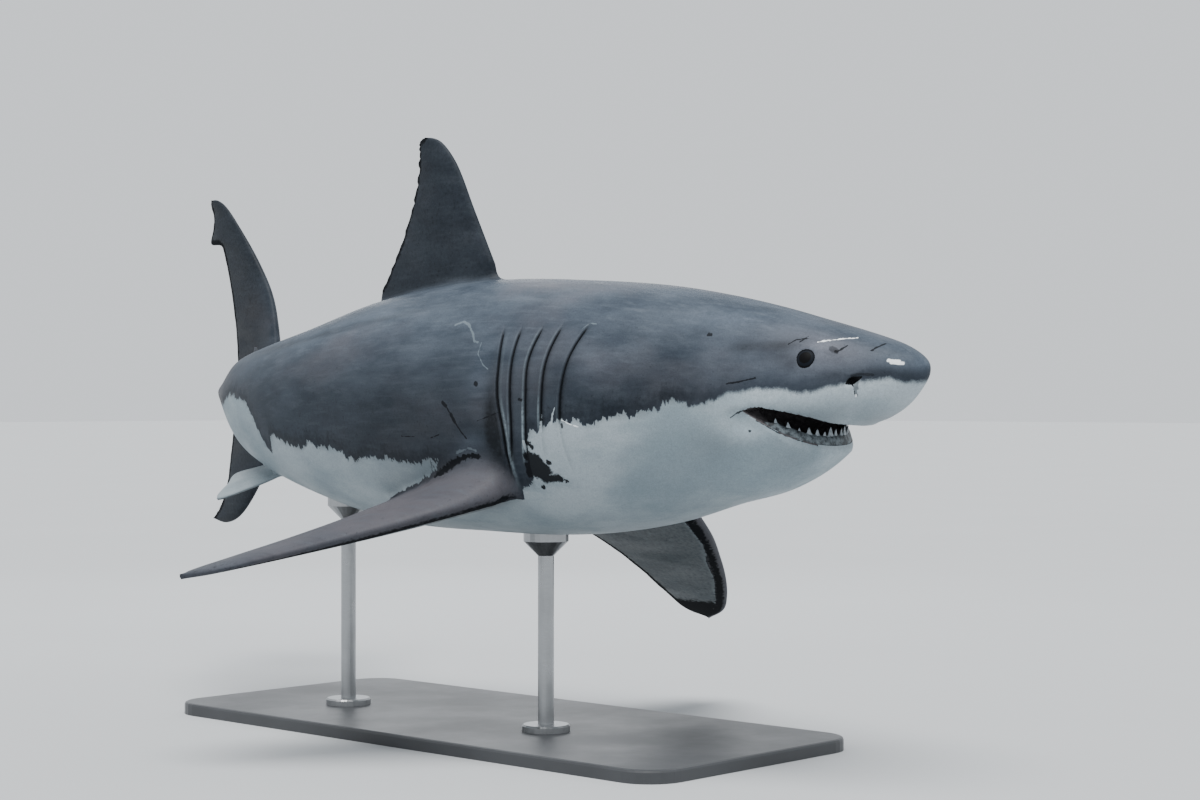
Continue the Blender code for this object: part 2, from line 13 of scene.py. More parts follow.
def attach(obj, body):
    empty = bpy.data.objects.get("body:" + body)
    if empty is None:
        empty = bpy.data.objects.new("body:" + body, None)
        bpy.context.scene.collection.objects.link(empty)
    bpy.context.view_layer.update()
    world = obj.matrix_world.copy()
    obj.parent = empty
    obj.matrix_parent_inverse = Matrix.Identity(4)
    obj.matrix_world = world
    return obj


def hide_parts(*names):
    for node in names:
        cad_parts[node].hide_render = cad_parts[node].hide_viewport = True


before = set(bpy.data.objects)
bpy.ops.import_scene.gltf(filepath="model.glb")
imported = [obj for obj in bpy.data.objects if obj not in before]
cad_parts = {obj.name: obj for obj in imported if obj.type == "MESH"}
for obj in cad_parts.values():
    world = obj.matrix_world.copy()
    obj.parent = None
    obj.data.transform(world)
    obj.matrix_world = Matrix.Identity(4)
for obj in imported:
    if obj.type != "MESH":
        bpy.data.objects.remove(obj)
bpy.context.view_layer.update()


def smoothCurve(positions, values, at):
    x = np.asarray(positions, float)
    y = np.asarray(values, float)
    at = np.asarray(at, float)
    step = np.diff(x)
    slope = np.diff(y) / step
    tangent = np.empty_like(y)
    tangent[0] = slope[0]
    tangent[-1] = slope[-1]
    tangent[1:-1] = (slope[:-1] * step[1:] + slope[1:] * step[:-1]) / (step[1:] + step[:-1])
    k = np.clip(np.searchsorted(x, at) - 1, 0, len(x) - 2)
    t = (at - x[k]) / step[k]
    start = (1 + 2 * t) * (1 - t) ** 2 * y[k] + t * (1 - t) ** 2 * step[k] * tangent[k]
    end = t * t * (3 - 2 * t) * y[k + 1] + t * t * (t - 1) * step[k] * tangent[k + 1]
    return start + end


def outlineCurve(points, at):
    points = np.asarray(points, float)
    legs = np.sqrt(np.linalg.norm(np.diff(points, axis=0), axis=1))
    way = np.concatenate([[0], np.cumsum(legs)])
    way /= way[-1]
    columns = [smoothCurve(way, points[:, i], at) for i in range(points.shape[1])]
    return np.stack(columns, -1)


def ease(value, start, end):
    t = np.clip((np.asarray(value, float) - start) / (end - start), 0, 1)
    return t * t * (3 - 2 * t)


def bump(value, width):
    return np.exp(-(np.asarray(value, float) / width) ** 2)


def awayFrom(points, line):
    # distance of (back, up) points from a broken line, and the share of the way along it
    best = np.full(points.shape[:-1], 9.0)
    share = np.zeros(points.shape[:-1])
    line = np.asarray(line, float)
    for k in range(len(line) - 1):
        leg = line[k + 1] - line[k]
        t = np.clip(((points - line[k]) @ leg) / (leg @ leg), 0, 1)
        gap = np.linalg.norm(points - line[k] - t[..., None] * leg, axis=-1)
        share = np.where(gap < best, (k + t) / (len(line) - 1), share)
        best = np.minimum(gap, best)
    return best, share


pose = dict(
    length=4.3, axisHeight=1.10, place=(0.02, -0.13), reference=0.40,
    leftSideUp=2.9, noseUp=1.2, tailTwist=4.6,  # degrees
    # the bends: degrees, and from where to where along the body
    headTurn=(4.0, 0.10, 0.34), tailTurn=(-50.0, 0.56, 0.78), finTurn=(40.0, 0.80, 0.88))
length = pose["length"]

axisBack = np.linspace(0, 1.05, 631)


def turned(turn):
    return math.radians(turn[0]) * ease(axisBack, turn[1], turn[2])


axisHeading = math.radians(pose["headTurn"][0]) - turned(pose["headTurn"])
axisHeading = axisHeading + turned(pose["tailTurn"]) + turned(pose["finTurn"])


def covered(share):
    legs = (share[1:] + share[:-1]) / 2 * (axisBack[1] - axisBack[0])
    way = np.concatenate([[0], np.cumsum(legs)])
    return np.interp(pose["reference"], axisBack, way) - way


axisX = covered(np.cos(axisHeading))
axisY = covered(np.sin(axisHeading))
lean = (Matrix.Rotation(-math.radians(pose["noseUp"]), 3, "Y")
        @ Matrix.Rotation(math.radians(pose["leftSideUp"]), 3, "X"))
leanRows = np.array(lean)
standOver = np.array([*pose["place"], pose["axisHeight"]])


def toWorld(straight):
    # straight (back, left, up) shares to metres in the model's frame
    straight = np.asarray(straight, float)
    back, left, up = straight[..., 0], straight[..., 1], straight[..., 2]
    heading = np.interp(back, axisBack, axisHeading)
    x = np.interp(back, axisBack, axisX) - np.sin(heading) * left
    y = np.interp(back, axisBack, axisY) + np.cos(heading) * left
    bent = length * np.stack([x, y, up], -1)
    return bent @ leanRows.T + standOver


body = dict(
    stations=(  # back, top, bottom, half width, height of the widest point
        (0.000, 0.0030, 0.0030, 0.0000, 0.003),
        (0.010, 0.0140, -0.0122, 0.0135, 0.002),
        (0.022, 0.0195, -0.0218, 0.0206, 0.000),
        (0.035, 0.0240, -0.0284, 0.0270, -0.002),
        (0.051, 0.0290, -0.0345, 0.0335, -0.003),
        (0.068, 0.0340, -0.0500, 0.0385, -0.004),
        (0.080, 0.0375, -0.0590, 0.0412, -0.006),
        (0.110, 0.0462, -0.0735, 0.0490, -0.010),
        (0.155, 0.0570, -0.0840, 0.0620, -0.014),
        (0.205, 0.0660, -0.0965, 0.0780, -0.014),
        (0.270, 0.0730, -0.1045, 0.0880, -0.014),
        (0.370, 0.0785, -0.1045, 0.0860, -0.012),
        (0.470, 0.0715, -0.0985, 0.0780, -0.010),
        (0.570, 0.0510, -0.0755, 0.0620, -0.010),
        (0.630, 0.0405, -0.0570, 0.0430, -0.006),
        (0.700, 0.0315, -0.0350, 0.0260, 0.003),
        (0.770, 0.0215, -0.0215, 0.0205, 0.003),
        (0.820, 0.0150, -0.0150, 0.0165, 0.000),
        (0.900, 0.0060, -0.0060, 0.0080, 0.000)),
    sides=128, roundness=2.15, last=0.872, blunt=(0.0020, 0.030),
    keel=dict(back=0.765, reach=0.070, width=0.013, sharpness=14),
    crease=((0.380, 0.0598), (0.432, 0.0541), (0.540, 0.0420), (0.665, 0.0315)))


def sectionAt(back, angle):
    table = np.array(body["stations"])
    here = np.sqrt(back)
    top, bottom, half, widest = (smoothCurve(np.sqrt(table[:, 0]), table[:, i], here)
                                 for i in range(1, 5))
    across, over = np.cos(angle), np.sin(angle)
    side = np.sign(np.round(across, 9))
    left = half * side * np.abs(across) ** (2 / body["roundness"])
    height = np.where(over > 0, top - widest, widest - bottom)
    up = widest + height * np.sign(over) * np.abs(over) ** (2 / body["roundness"])
    keel = body["keel"]
    ridge = bump(back - keel["back"], keel["reach"]) * keel["width"]
    left = left + side * ridge * np.abs(across) ** keel["sharpness"]
    return np.stack([np.broadcast_to(back, left.shape), left, up], -1)


def halfWidthAt(back, up):
    # how far the skin lies from the middle plane at one height
    angle = np.linspace(-math.pi / 2, math.pi / 2, 721)
    ring = sectionAt(np.full(angle.shape, float(back)), angle)
    return float(np.interp(up, ring[:, 2], ring[:, 1]))


gills = dict(
    # heights of five places down each slit, and the back of every slit there
    ups=(0.0410, 0.0200, -0.0040, -0.0290, -0.0560),
    slits=((0.2220, 0.2292, 0.2328, 0.2342, 0.2318), (0.2422, 0.2462, 0.2474, 0.2490, 0.2503),
           (0.2573, 0.2608, 0.2604, 0.2623, 0.2680), (0.2750, 0.2746, 0.2735, 0.2742, 0.2812),
           (0.2900, 0.2861, 0.2846, 0.2810, 0.2830)),
    bottoms=(-0.0560, -0.0480, -0.0500, -0.0520, -0.0620), fade=0.008,
    deepTo=(-0.0215, -0.0245, -0.0480, -0.0480, -0.0600), faint=0.25,
    # behind each slit's line, and how far the skin stands out there
    profile=((-0.0045, 0.0000), (-0.0030, -0.0001), (-0.0018, -0.0003), (-0.0010, -0.0006),
             (-0.0005, -0.0011), (0.0000, -0.0018), (0.0004, 0.0000), (0.0009, 0.0006),
             (0.0014, 0.0007), (0.0022, 0.0004), (0.0034, 0.0000)),
    # the painted highlight on the rim beside each slit: how far behind it, half width, strength
    rims=((0.0012, 0.0006, 0.15), (0.0013, 0.0006, 0.75), (0.0012, 0.0007, 1.00),
          (0.0012, 0.0006, 0.35), (-0.0034, 0.0012, 0.75)),
    crowd=0.45,  # the share of the gap to the next slit that a profile may take
    ahead=(92, 20), between=(7, 3, 3, 3, 2, 8), behind=(40, 56))  # rings of the skin


def slitLine(k, up):
    up = np.clip(up, gills["ups"][-1], gills["ups"][0])
    return smoothCurve([-place for place in gills["ups"]], gills["slits"][k], -up)


def slitStrength(k, up):
    bottom, top = gills["bottoms"][k], gills["ups"][0]
    ends = ease(up, bottom - 0.002, bottom + gills["fade"])
    ends = ends * (1 - ease(up, top - gills["fade"] * 0.6, top + 0.002))
    deep = ease(up, gills["deepTo"][k] - 0.005, gills["deepTo"][k] + 0.003)
    return ends * (gills["faint"] + (1 - gills["faint"]) * deep)


def gillRelief(back, left, up):
    offsets, outs = zip(*gills["profile"])
    relief = 0
    for k in range(5):
        relief = relief + np.interp(back - slitLine(k, up), offsets, outs) * slitStrength(k, up)
    return relief * ease(np.abs(left), 0.02, 0.04)


def ringRows():
    # each ring lies between two lines, given as slit and offset, or -1 and a plain back
    offsets = [offset for offset, out in gills["profile"]]
    plain = np.concatenate([np.linspace(0.016, math.sqrt(0.135), gills["ahead"][0]) ** 2,
                            np.linspace(0.138, 0.205, gills["ahead"][1])])
    rows = [(-1, back, -1, back, 0.0) for back in plain]
    for k in range(6):
        start = (k - 1, offsets[-1]) if k else (-1, 0.205)
        end = (k, offsets[0]) if k < 5 else (-1, 0.315)
        shares = np.linspace(0, 1, gills["between"][k] + 2)[1:-1]
        rows += [(*start, *end, share) for share in shares]
        if k < 5:
            rows += [(k, offset, k, offset, 0.0) for offset in offsets]
    plain = np.concatenate([np.linspace(0.315, 0.560, gills["behind"][0]),
                            np.linspace(0.565, body["last"], gills["behind"][1])])
    return rows + [(-1, back, -1, back, 0.0) for back in plain]


def besideSlit(k, offset, up):
    # an offset from a slit, drawn in where the next slit is close
    if k < 0:
        return offset + 0 * up
    line = slitLine(k, up)
    nextDoor = k + (1 if offset > 0 else -1)
    if 0 <= nextDoor < 5:
        reach = gills["profile"][-1][0] if offset > 0 else -gills["profile"][0][0]
        gap = np.abs(slitLine(nextDoor, up) - line)
        offset = offset * np.minimum(1, gills["crowd"] * gap / reach)
    return line + offset


def ringBacks(rows, ups):
    backs = []
    for (a, offsetA, b, offsetB, share), up in zip(rows, ups):
        first = besideSlit(a, offsetA, up)
        last = besideSlit(b, offsetB, up)
        backs.append(first + (last - first) * share)
    inOrder = 2e-6 * np.arange(len(rows))[:, None]
    return np.maximum.accumulate(np.array(backs) + inOrder, axis=0)


eye = dict(
    back=0.0700, up=0.0127,  # its middle, in shares of the length
    radius=0.0310, showing=0.0270, inset=0.0035, socketOut=0.002, socketDeep=0.016,  # metres
    flat=0.62, roughness=0.55, shine=0.05,
    pupil=(0.0030, 0.0030, 0.0035), iris=(0.007, 0.009, 0.013), rim=(0.004, 0.004, 0.005))
nostril = dict(  # the opening and the slit below it: back, up and half width along each
    cuts=(((0.0434, -0.0044, 0.0007), (0.0414, -0.0034, 0.0022), (0.0390, -0.0024, 0.0022),
           (0.0352, -0.0010, 0.0006)),
          ((0.0406, -0.0040, 0.0007), (0.0396, -0.0064, 0.0005), (0.0394, -0.0092, 0.0003),
           (0.0396, -0.0112, 0.0002))),
    depth=1.7)


skinForms = dict(
    # along a line, its points, then for each form: how far out, half width, off the line, fading
    lines=(
        (((0.1085, -0.0186), (0.1130, -0.0196), (0.1180, -0.0222), (0.1270, -0.0262)),
         ((-0.0011, 0.0011, 0.0, 0.85), (0.0007, 0.0042, 0.0, 0.60))),  # behind the mouth
        (((0.0560, 0.0190), (0.0740, 0.0212), (0.0980, 0.0190)), ((0.0007, 0.0040, 0.0, 0.0),)),
        ([cut[:2] for cut in nostril["cuts"][0]], ((0.0005, 0.0014, 0.0034, 0.0),)),
        (((0.3060, 0.0257), (0.3060, 0.0345), (0.3010, 0.0400), (0.2905, 0.0425)),
         ((0.0006, 0.0022, 0.0, 0.0),))),
    # ovals on the jaw and the flap of the nostril: back, up, reach along, reach up, how far out
    ovals=((0.1190, -0.0330, 0.0170, 0.0095, 0.0016), (0.0376, -0.0070, 0.0022, 0.0045, 0.0009)),
    socket=((-0.0007, 0.0110, 0.0), (0.0005, 0.0011, 0.0068)),  # round the eye, as for a line
    crease=(-0.0006, 0.0016, 0.45, 0.42),  # out, half width, middle and half of the way it shows
    shoulder=(((0.235, 0.0520), (0.290, 0.0505), (0.330, 0.0400)), 0.0006, 0.0065),
    armpit=(0.372, -0.0630, 0.022, 0.010, -0.0012),
    pit=(0.8290, 0.006, 0.012, -0.0016))  # the notch ahead of the tail fin: back, reaches, out


def skinRelief(points):
    # how far the skin stands out from the smooth body, in shares
    back, left, up = points[..., 0], points[..., 1], points[..., 2]
    side = points[..., [0, 2]]
    onSide = ease(np.abs(left), 0.010, 0.022)
    relief = gillRelief(back, left, up)
    for line, forms in skinForms["lines"]:
        away, share = awayFrom(side, line)
        for out, wide, beside, fading in forms:
            relief += out * bump(away - beside, wide) * (1 - fading * share) * onSide
    for atBack, atUp, along, high, out in skinForms["ovals"]:
        relief += out * bump(np.hypot((back - atBack) / along, (up - atUp) / high), 1.0) * onSide
    fromEye = np.hypot(back - eye["back"], up - eye["up"])
    for out, wide, beside in skinForms["socket"]:
        relief += out * bump(fromEye - beside, wide) * onSide
    out, wide, middle, half = skinForms["crease"]
    away, share = awayFrom(side, body["crease"])
    relief += out * bump(away, wide) * bump(share - middle, half)
    line, out, wide = skinForms["shoulder"]
    relief += out * bump(awayFrom(side, line)[0], wide)
    atBack, atUp, along, high, out = skinForms["armpit"]
    armpit = bump(np.hypot((back - atBack) / along, (up - atUp) / high), 1.0)
    relief += out * armpit * ease(np.abs(left), 0.02, 0.04)
    atBack, along, across, out = skinForms["pit"]
    relief += out * bump(np.hypot((back - atBack) / along, left / across), 1.0)
    return relief


def gridMesh(points, wrap, cap=False):
    # a sheet over rows of points, closed round each row, and at the last row where asked
    rows, columns = points.shape[:2]
    bm = bmesh.new()
    bmesh.ops.create_grid(bm, x_segments=columns - 1 + wrap, y_segments=rows - 1, size=0.5)
    across = columns + wrap
    assert len(bm.verts) == across * rows, (len(bm.verts), across, rows)
    for vert in bm.verts:
        j = round((vert.co.x + 0.5) * (across - 1))
        i = round((vert.co.y + 0.5) * (rows - 1))
        vert.co = points[i, j % columns]
    bmesh.ops.remove_doubles(bm, verts=bm.verts, dist=1e-6)
    rim = [e for e in bm.edges if e.is_boundary]
    if cap and rim:
        bmesh.ops.holes_fill(bm, edges=rim, sides=0)
    bmesh.ops.recalc_face_normals(bm, faces=bm.faces)
    if bm.calc_volume(signed=True) < 0:
        bmesh.ops.reverse_faces(bm, faces=bm.faces)
    return bm


def placeObject(name, data):
    obj = bpy.data.objects.new(name, data)
    bpy.context.scene.collection.objects.link(obj)
    return obj


def makeObject(name, bm, slot=0):
    mesh = bpy.data.meshes.new(name)
    for face in bm.faces:
        face.material_index = slot
        face.smooth = True
    bm.to_mesh(mesh)
    bm.free()
    return placeObject(name, mesh)


# what each face of the rough skin came from, told by its material slot
origin = dict(body=0, firstDorsal=1, secondDorsal=2, anal=3, caudal=4, pectoral=5, pelvic=6,
              gape=7, hollow=8, socket=9, nostril=10)
plainSlots = [bpy.data.materials.new("rough" + str(k)) for k in range(len(origin))]


def roughObject(name, bm, kind):
    obj = makeObject(name, bm, origin[kind])
    for plain in plainSlots:
        obj.data.materials.append(plain)
    return obj


def bodyMesh():
    rows = ringRows()
    angle = 2 * math.pi * np.arange(body["sides"]) / body["sides"]
    backs = np.full((len(rows), body["sides"]), 0.26)
    for _ in range(3):
        backs = ringBacks(rows, sectionAt(backs, angle[None, :])[..., 2])
    points = sectionAt(backs, angle[None, :])
    points[..., 0] += body["blunt"][0] * (1 - ease(points[..., 0], 0, body["blunt"][1]))
    alongBody = np.gradient(points, axis=0)
    roundBody = np.roll(points, -1, axis=1) - np.roll(points, 1, axis=1)
    out = np.cross(roundBody, alongBody)
    out /= np.linalg.norm(out, axis=-1, keepdims=True) + 1e-12
    if (out[20, :, 1] * points[20, :, 1]).sum() < 0:
        out = -out
    points = points + out * skinRelief(points)[..., None]
    tip = np.broadcast_to(np.array([body["blunt"][0], 0, 0.003]), (1,) + points.shape[1:])
    points = np.concatenate([tip, points])
    return gridMesh(points * length, wrap=1, cap=True)


fins = dict(
    firstDorsal=dict(
        lead=((.3550, .0600), (.3680, .0890), (.3870, .1310), (.4040, .1680), (.4180, .1840),
              (.4265, .1880), (.4345, .1893)),
        trail=((.4620, .0600), (.4970, .0700), (.4870, .0840), (.4640, .1190), (.4475, .1540),
               (.4428, .1770), (.4428, .1840), (.4400, .1878), (.4345, .1893)),
        root=0.0075, tip=0.0012, rows=60, ragged=0.0024),
    secondDorsal=dict(
        lead=((.7120, .0150), (.7220, .0300), (.7330, .0400), (.7380, .0420)),
        trail=((.7300, .0150), (.7510, .0270), (.7440, .0330), (.7400, .0400), (.7380, .0420)),
        root=0.0022, tip=0.0006, rows=16, ragged=0.0002),
    anal=dict(
        lead=((.7280, -.0140), (.7380, -.0290), (.7490, -.0390), (.7540, -.0410)),
        trail=((.7460, -.0140), (.7670, -.0250), (.7600, -.0320), (.7560, -.0390),
               (.7540, -.0410)),
        root=0.0022, tip=0.0006, rows=16, ragged=0.0002),
    caudalUpper=dict(
        lead=((.8180, .0000), (.8360, .0450), (.8550, .0850), (.8800, .1160), (.9230, .1560),
              (.9520, .1780), (.9680, .1846), (.9780, .1852)),
        trail=((.9180, .0000), (.9220, .0450), (.9340, .0920), (.9500, .1300), (.9565, .1400),
               (.9785, .1440), (.9740, .1580), (.9735, .1700), (.9785, .1780), (.9795, .1825),
               (.9780, .1852)),
        root=0.0070, tip=0.0012, rows=52, ragged=0.0006),
    caudalLower=dict(
        lead=((.8200, .0000), (.8400, -.0350), (.8630, -.0700), (.8940, -.1020), (.9150, -.1155),
              (.9380, -.1205), (.9620, -.1170)),
        trail=((.9180, .0000), (.9250, -.0300), (.9310, -.0570), (.9360, -.0820),
               (.9470, -.1030), (.9620, -.1170)),
        root=0.0070, tip=0.0012, rows=40, ragged=0.0006),
    pectoral=dict(
        at=(.2753, .0539, -.0620),
        lead=((.000, .000), (.001, .050), (.012, .098), (.030, .136), (.046, .165),
              (.066, .195), (.086, .218), (.110, .2310)),
        trail=((.105, .000), (.146, .030), (.142, .062), (.128, .105), (.1235, .146),
               (.125, .186), (.124, .2180), (.110, .2310)),
        root=0.0115, tip=0.0015, rows=52, ragged=0.0006, flare=(0.0260, 0.040)),
    pelvic=dict(
        at=(.5900, .0150, -.0560),
        lead=((.000, .000), (.010, .018), (.026, .034), (.040, .046), (.046, .048)),
        trail=((.045, .000), (.078, .014), (.064, .026), (.054, .042), (.046, .048)),
        root=0.0035, tip=0.0008, rows=22, ragged=0.0003),
    held=(  # which, side, droop, twist, sweep in degrees
        ("pectoral", -1, 11.0, 5.5, 15.0), ("pectoral", 1, 35.0, 2.0, 0.0),
        ("pelvic", -1, 30.0, 0.0, 0.0), ("pelvic", 1, 30.0, 0.0, 0.0)),
    foil=(0.2969, -0.1260, -0.3516, 0.2843, -0.1036), sides=44, edge=0.0003,
    gather=1.4, thinning=1.2)


def finMesh(shape, toBody, seed):
    rows, sides = shape["rows"], fins["sides"]
    rise = 1 - (1 - np.linspace(0, 1, rows + 1)) ** fins["gather"]
    lead = outlineCurve(shape["lead"], rise)
    trail = outlineCurve(shape["trail"], rise)
    thickRise = 1 - rise
    angle = 2 * math.pi * np.arange(sides) / sides
    chord = (1 - np.cos(angle)) / 2
    side = np.sin(angle)
    powers = np.stack([np.sqrt(chord)] + [chord ** n for n in (1, 2, 3, 4)], -1)
    foil = powers @ np.array(fins["foil"]) / 0.10
    points = np.zeros((rows + 1, sides, 3))
    for k in range(rows + 1):
        span = trail[k] - lead[k]
        tatter = noise.noise(Vector((k * 0.55, seed, 0.0))) + noise.noise(Vector((k * 1.7, seed, 3.0)))
        reach = np.where(chord > 0.90, (chord - 0.90) * 10, 0) * shape["ragged"] * tatter
        wide = max(np.linalg.norm(span), 1e-9)
        here = lead[k][None, :] + span[None, :] * chord[:, None] + span / wide * reach[:, None]
        thick = shape["root"] * thickRise[k] ** fins["thinning"] + shape["tip"]
        half = thick * foil + fins["edge"] * np.minimum(1, 3 * np.abs(side))
        if "flare" in shape:  # the upper side swells where the fin leaves the body
            half += shape["flare"][0] * bump(lead[k][1], shape["flare"][1]) * foil * (side > 0)
        if k == rows:
            here = np.broadcast_to(lead[-1], here.shape)
            half = half * 0
        signed = half * np.sign(np.round(side, 9))
        points[k] = toBody(here[:, 0], here[:, 1], signed)
    return gridMesh(points * length, wrap=1, cap=True)


def middlePlane(twist=0.0, rootGap=0.0):
    def toBody(back, height, thickness):
        height = height + rootGap
        left = height * math.sin(twist) + thickness
        return np.stack(np.broadcast_arrays(back, left, height * math.cos(twist)), -1)
    return toBody


def pairedPlane(shape, sign, droop, twist, sweep):
    droop, twist, sweep = (math.radians(a) for a in (droop, twist, sweep))
    rootBack, rootOut, rootUp = shape["at"]

    def toBody(back, out, thickness):
        sweptBack = back * math.cos(sweep) + out * math.sin(sweep)
        sweptOut = out * math.cos(sweep) - back * math.sin(sweep)
        chord = sweptBack * math.cos(twist) + thickness * math.sin(twist)
        normal = thickness * math.cos(twist) - sweptBack * math.sin(twist)
        outward = sweptOut * math.cos(droop) + normal * math.sin(droop)
        upward = normal * math.cos(droop) - sweptOut * math.sin(droop)
        left = sign * (rootOut + outward)
        return np.stack(np.broadcast_arrays(rootBack + chord, left, rootUp + upward), -1)
    return toBody


mouth = dict(
    corner=(0.1114, -0.0192),
    upperLip=((0.1040, -0.0172), (0.0940, -0.0190), (0.0800, -0.0223), (0.0670, -0.0260),
              (0.0590, -0.0292), (0.0500, -0.0318), (0.0400, -0.0370)),
    openTo=(0.0400, -0.0900),  # the cutter's lower front, clear of the chin
    chin=((0.0760, -0.0600), (0.0722, -0.0560), (0.0694, -0.0520), (0.0682, -0.0478),
          (0.0686, -0.0450)),
    lowerLip=((0.0750, -0.0425), (0.0820, -0.0388), (0.0915, -0.0332), (0.1030, -0.0252)),
    chinReach=0.031, chinHalf=0.0442, chinCurve=2.3, halfWidth=0.062, slices=49,
    lipShort=0.0006,  # how far the lip stops short of the corner
    hollow=dict(back=0.1030, up=-0.0290, along=0.0330, across=0.0360, high=0.0175, slope=22.0))


def lipUp(back):
    line = (mouth["chin"][-1],) + mouth["lowerLip"] + (mouth["corner"],)
    return float(smoothCurve([p[0] for p in line], [p[1] for p in line], back))


def gapeMesh():
    # the open mouth, through the whole head, with the chin's rounded front
    halves = np.linspace(-mouth["halfWidth"], mouth["halfWidth"], mouth["slices"])
    way = np.linspace(0, 1, 40)
    upper = outlineCurve((mouth["corner"],) + mouth["upperLip"], way)
    lower = outlineCurve(mouth["chin"][-1:] + mouth["lowerLip"] + (mouth["corner"],),
                         np.linspace(0, 1, 30))
    front = outlineCurve(mouth["chin"], np.linspace(0, 1, 16))[:-1]
    points = []
    for across in halves:
        share = min(abs(across) / mouth["chinHalf"], 1.25)
        setBack = mouth["chinReach"] * share ** mouth["chinCurve"]
        # the chin's front runs back round the jaw, and the lip follows it
        lipEnd = mouth["corner"][0] - mouth["lipShort"]
        chin = np.stack([np.minimum(front[:, 0] + setBack, lipEnd), front[:, 1]], -1)
        along = np.linspace(min(lower[0, 0] + setBack, lipEnd), mouth["corner"][0], 30)[:-1]
        lip = np.stack([along, np.interp(along, *lower.T)], -1)
        drop = lip[0, 1] - lower[0, 1]
        chin[:, 1] = front[:, 1] + drop * np.linspace(0, 1, len(front))
        bottom = np.array([mouth["openTo"], (chin[0, 0], mouth["openTo"][1])])
        outline = np.concatenate([upper, bottom, chin, lip])
        points.append(np.stack([outline[:, 0], np.full(len(outline), across), outline[:, 1]], -1))
    return gridMesh(np.array(points) * length, wrap=1, cap=True)


def ballMesh(bm, centre, radii, turn, segments=48, rings=32):
    made = bmesh.ops.create_uvsphere(bm, u_segments=segments, v_segments=rings, radius=1.0)
    place = Matrix.Translation(centre) @ turn.to_4x4() @ Matrix.Diagonal((*radii, 1.0))
    bmesh.ops.transform(bm, matrix=place, verts=made["verts"])


def straightNormal(back, up, sign):
    step = 0.004
    here = np.array([back, sign * halfWidthAt(back, up), up])
    ahead = np.array([back - step, sign * halfWidthAt(back - step, up), up])
    above = np.array([back, sign * halfWidthAt(back, up + step), up + step])
    out = -sign * np.cross(ahead - here, above - here)
    return here, -out / np.linalg.norm(out)


def joinBoolean(target, other, operation):
    step = target.modifiers.new(operation.lower(), "BOOLEAN")
    step.operation = operation
    step.object = other
    step.solver = "EXACT"
    step.material_mode = "INDEX"
    graph = bpy.context.evaluated_depsgraph_get()
    made = bpy.data.meshes.new_from_object(target.evaluated_get(graph))
    target.modifiers.remove(step)
    old = target.data
    target.data = made
    bpy.data.meshes.remove(old)
    bpy.data.objects.remove(other, do_unlink=True)


def softenSeams(obj, names, reach, times):
    # rounds the join between the body and what was joined to it or cut from it
    others = {origin[name] for name in names}
    bm = bmesh.new()
    bm.from_mesh(obj.data)
    seam = []
    for edge in bm.edges:
        slots = {face.material_index for face in edge.link_faces}
        if len(edge.link_faces) == 2 and origin["body"] in slots and slots & others:
            seam += [vert.co.copy() for vert in edge.verts]
    if seam:
        tree = KDTree(len(seam))
        for k, spot in enumerate(seam):
            tree.insert(spot, k)
        tree.balance()
        near = [v for v in bm.verts if tree.find(v.co)[2] < reach]
        for _ in range(times):
            bmesh.ops.smooth_vert(bm, verts=near, factor=0.5, use_axis_x=True,
                                  use_axis_y=True, use_axis_z=True)
        print("softened", len(near), "of", len(bm.verts))
    bm.to_mesh(obj.data)
    bm.free()


def joinedFins():
    twist = math.radians(pose["tailTwist"])
    pieces = [("firstDorsal", "firstDorsal", middlePlane(), 1.0),
              ("secondDorsal", "secondDorsal", middlePlane(), 2.0),
              ("anal", "anal", middlePlane(), 3.0),
              ("caudalUpper", "caudal", middlePlane(twist, -0.0004), 4.0),
              ("caudalLower", "caudal", middlePlane(twist, 0.0004), 5.0)]
    for number, (kind, sign, droop, turn, sweep) in enumerate(fins["held"]):
        plane = pairedPlane(fins[kind], sign, droop, turn, sweep)
        pieces.append((kind, kind, plane, 6.0 + number))
    return [roughObject("finOf" + shapeName, finMesh(fins[shapeName], plane, seed), kind)
            for shapeName, kind, plane, seed in pieces]


print("stage: rough skin")
skin = roughObject("sharkSkin", bodyMesh(), "body")
for fin in joinedFins():
    joinBoolean(skin, fin, "UNION")
for names, reach, times in ((("pectoral",), 0.050, 14), (("firstDorsal",), 0.040, 12),
                            (("caudal",), 0.020, 6), (("secondDorsal", "anal", "pelvic"), 0.014, 6)):
    softenSeams(skin, names, reach, times)

print("stage: mouth")
joinBoolean(skin, roughObject("gape", gapeMesh(), "gape"), "DIFFERENCE")
hollowBall = bmesh.new()
hollow = mouth["hollow"]
slope = Matrix.Rotation(math.radians(hollow["slope"]), 3, "Y")
ballMesh(hollowBall, Vector((hollow["back"], 0, hollow["up"])) * length,
         [hollow[k] * length for k in ("along", "across", "high")], slope.inverted())
joinBoolean(skin, roughObject("hollow", hollowBall, "hollow"), "DIFFERENCE")
softenSeams(skin, ("gape",), 0.009, 4)


def nostrilMesh(cut, sign):
    spots = [(*straightNormal(back, up, sign), wide) for back, up, wide in cut]
    angle = 2 * math.pi * np.arange(16) / 16
    rows = []
    for k, (at, outward, wide) in enumerate(spots):
        follow = spots[min(k + 1, len(spots) - 1)][0] - spots[max(k - 1, 0)][0]
        follow /= np.linalg.norm(follow)
        across = np.cross(outward, follow)
        rows.append(at[None, :] + across[None, :] * np.cos(angle)[:, None] * wide
                    + outward[None, :] * np.sin(angle)[:, None] * nostril["depth"] * wide)
    first = np.broadcast_to(spots[0][0] + (spots[0][0] - spots[1][0]) * 0.4, rows[0].shape)
    last = np.broadcast_to(spots[-1][0] + (spots[-1][0] - spots[-2][0]) * 0.3, rows[0].shape)
    bean = gridMesh(np.array([first] + rows + [last]) * length, wrap=1)
    bmesh.ops.subdivide_edges(bean, edges=bean.edges, cuts=1, use_grid_fill=True, smooth=0.5)
    return bean


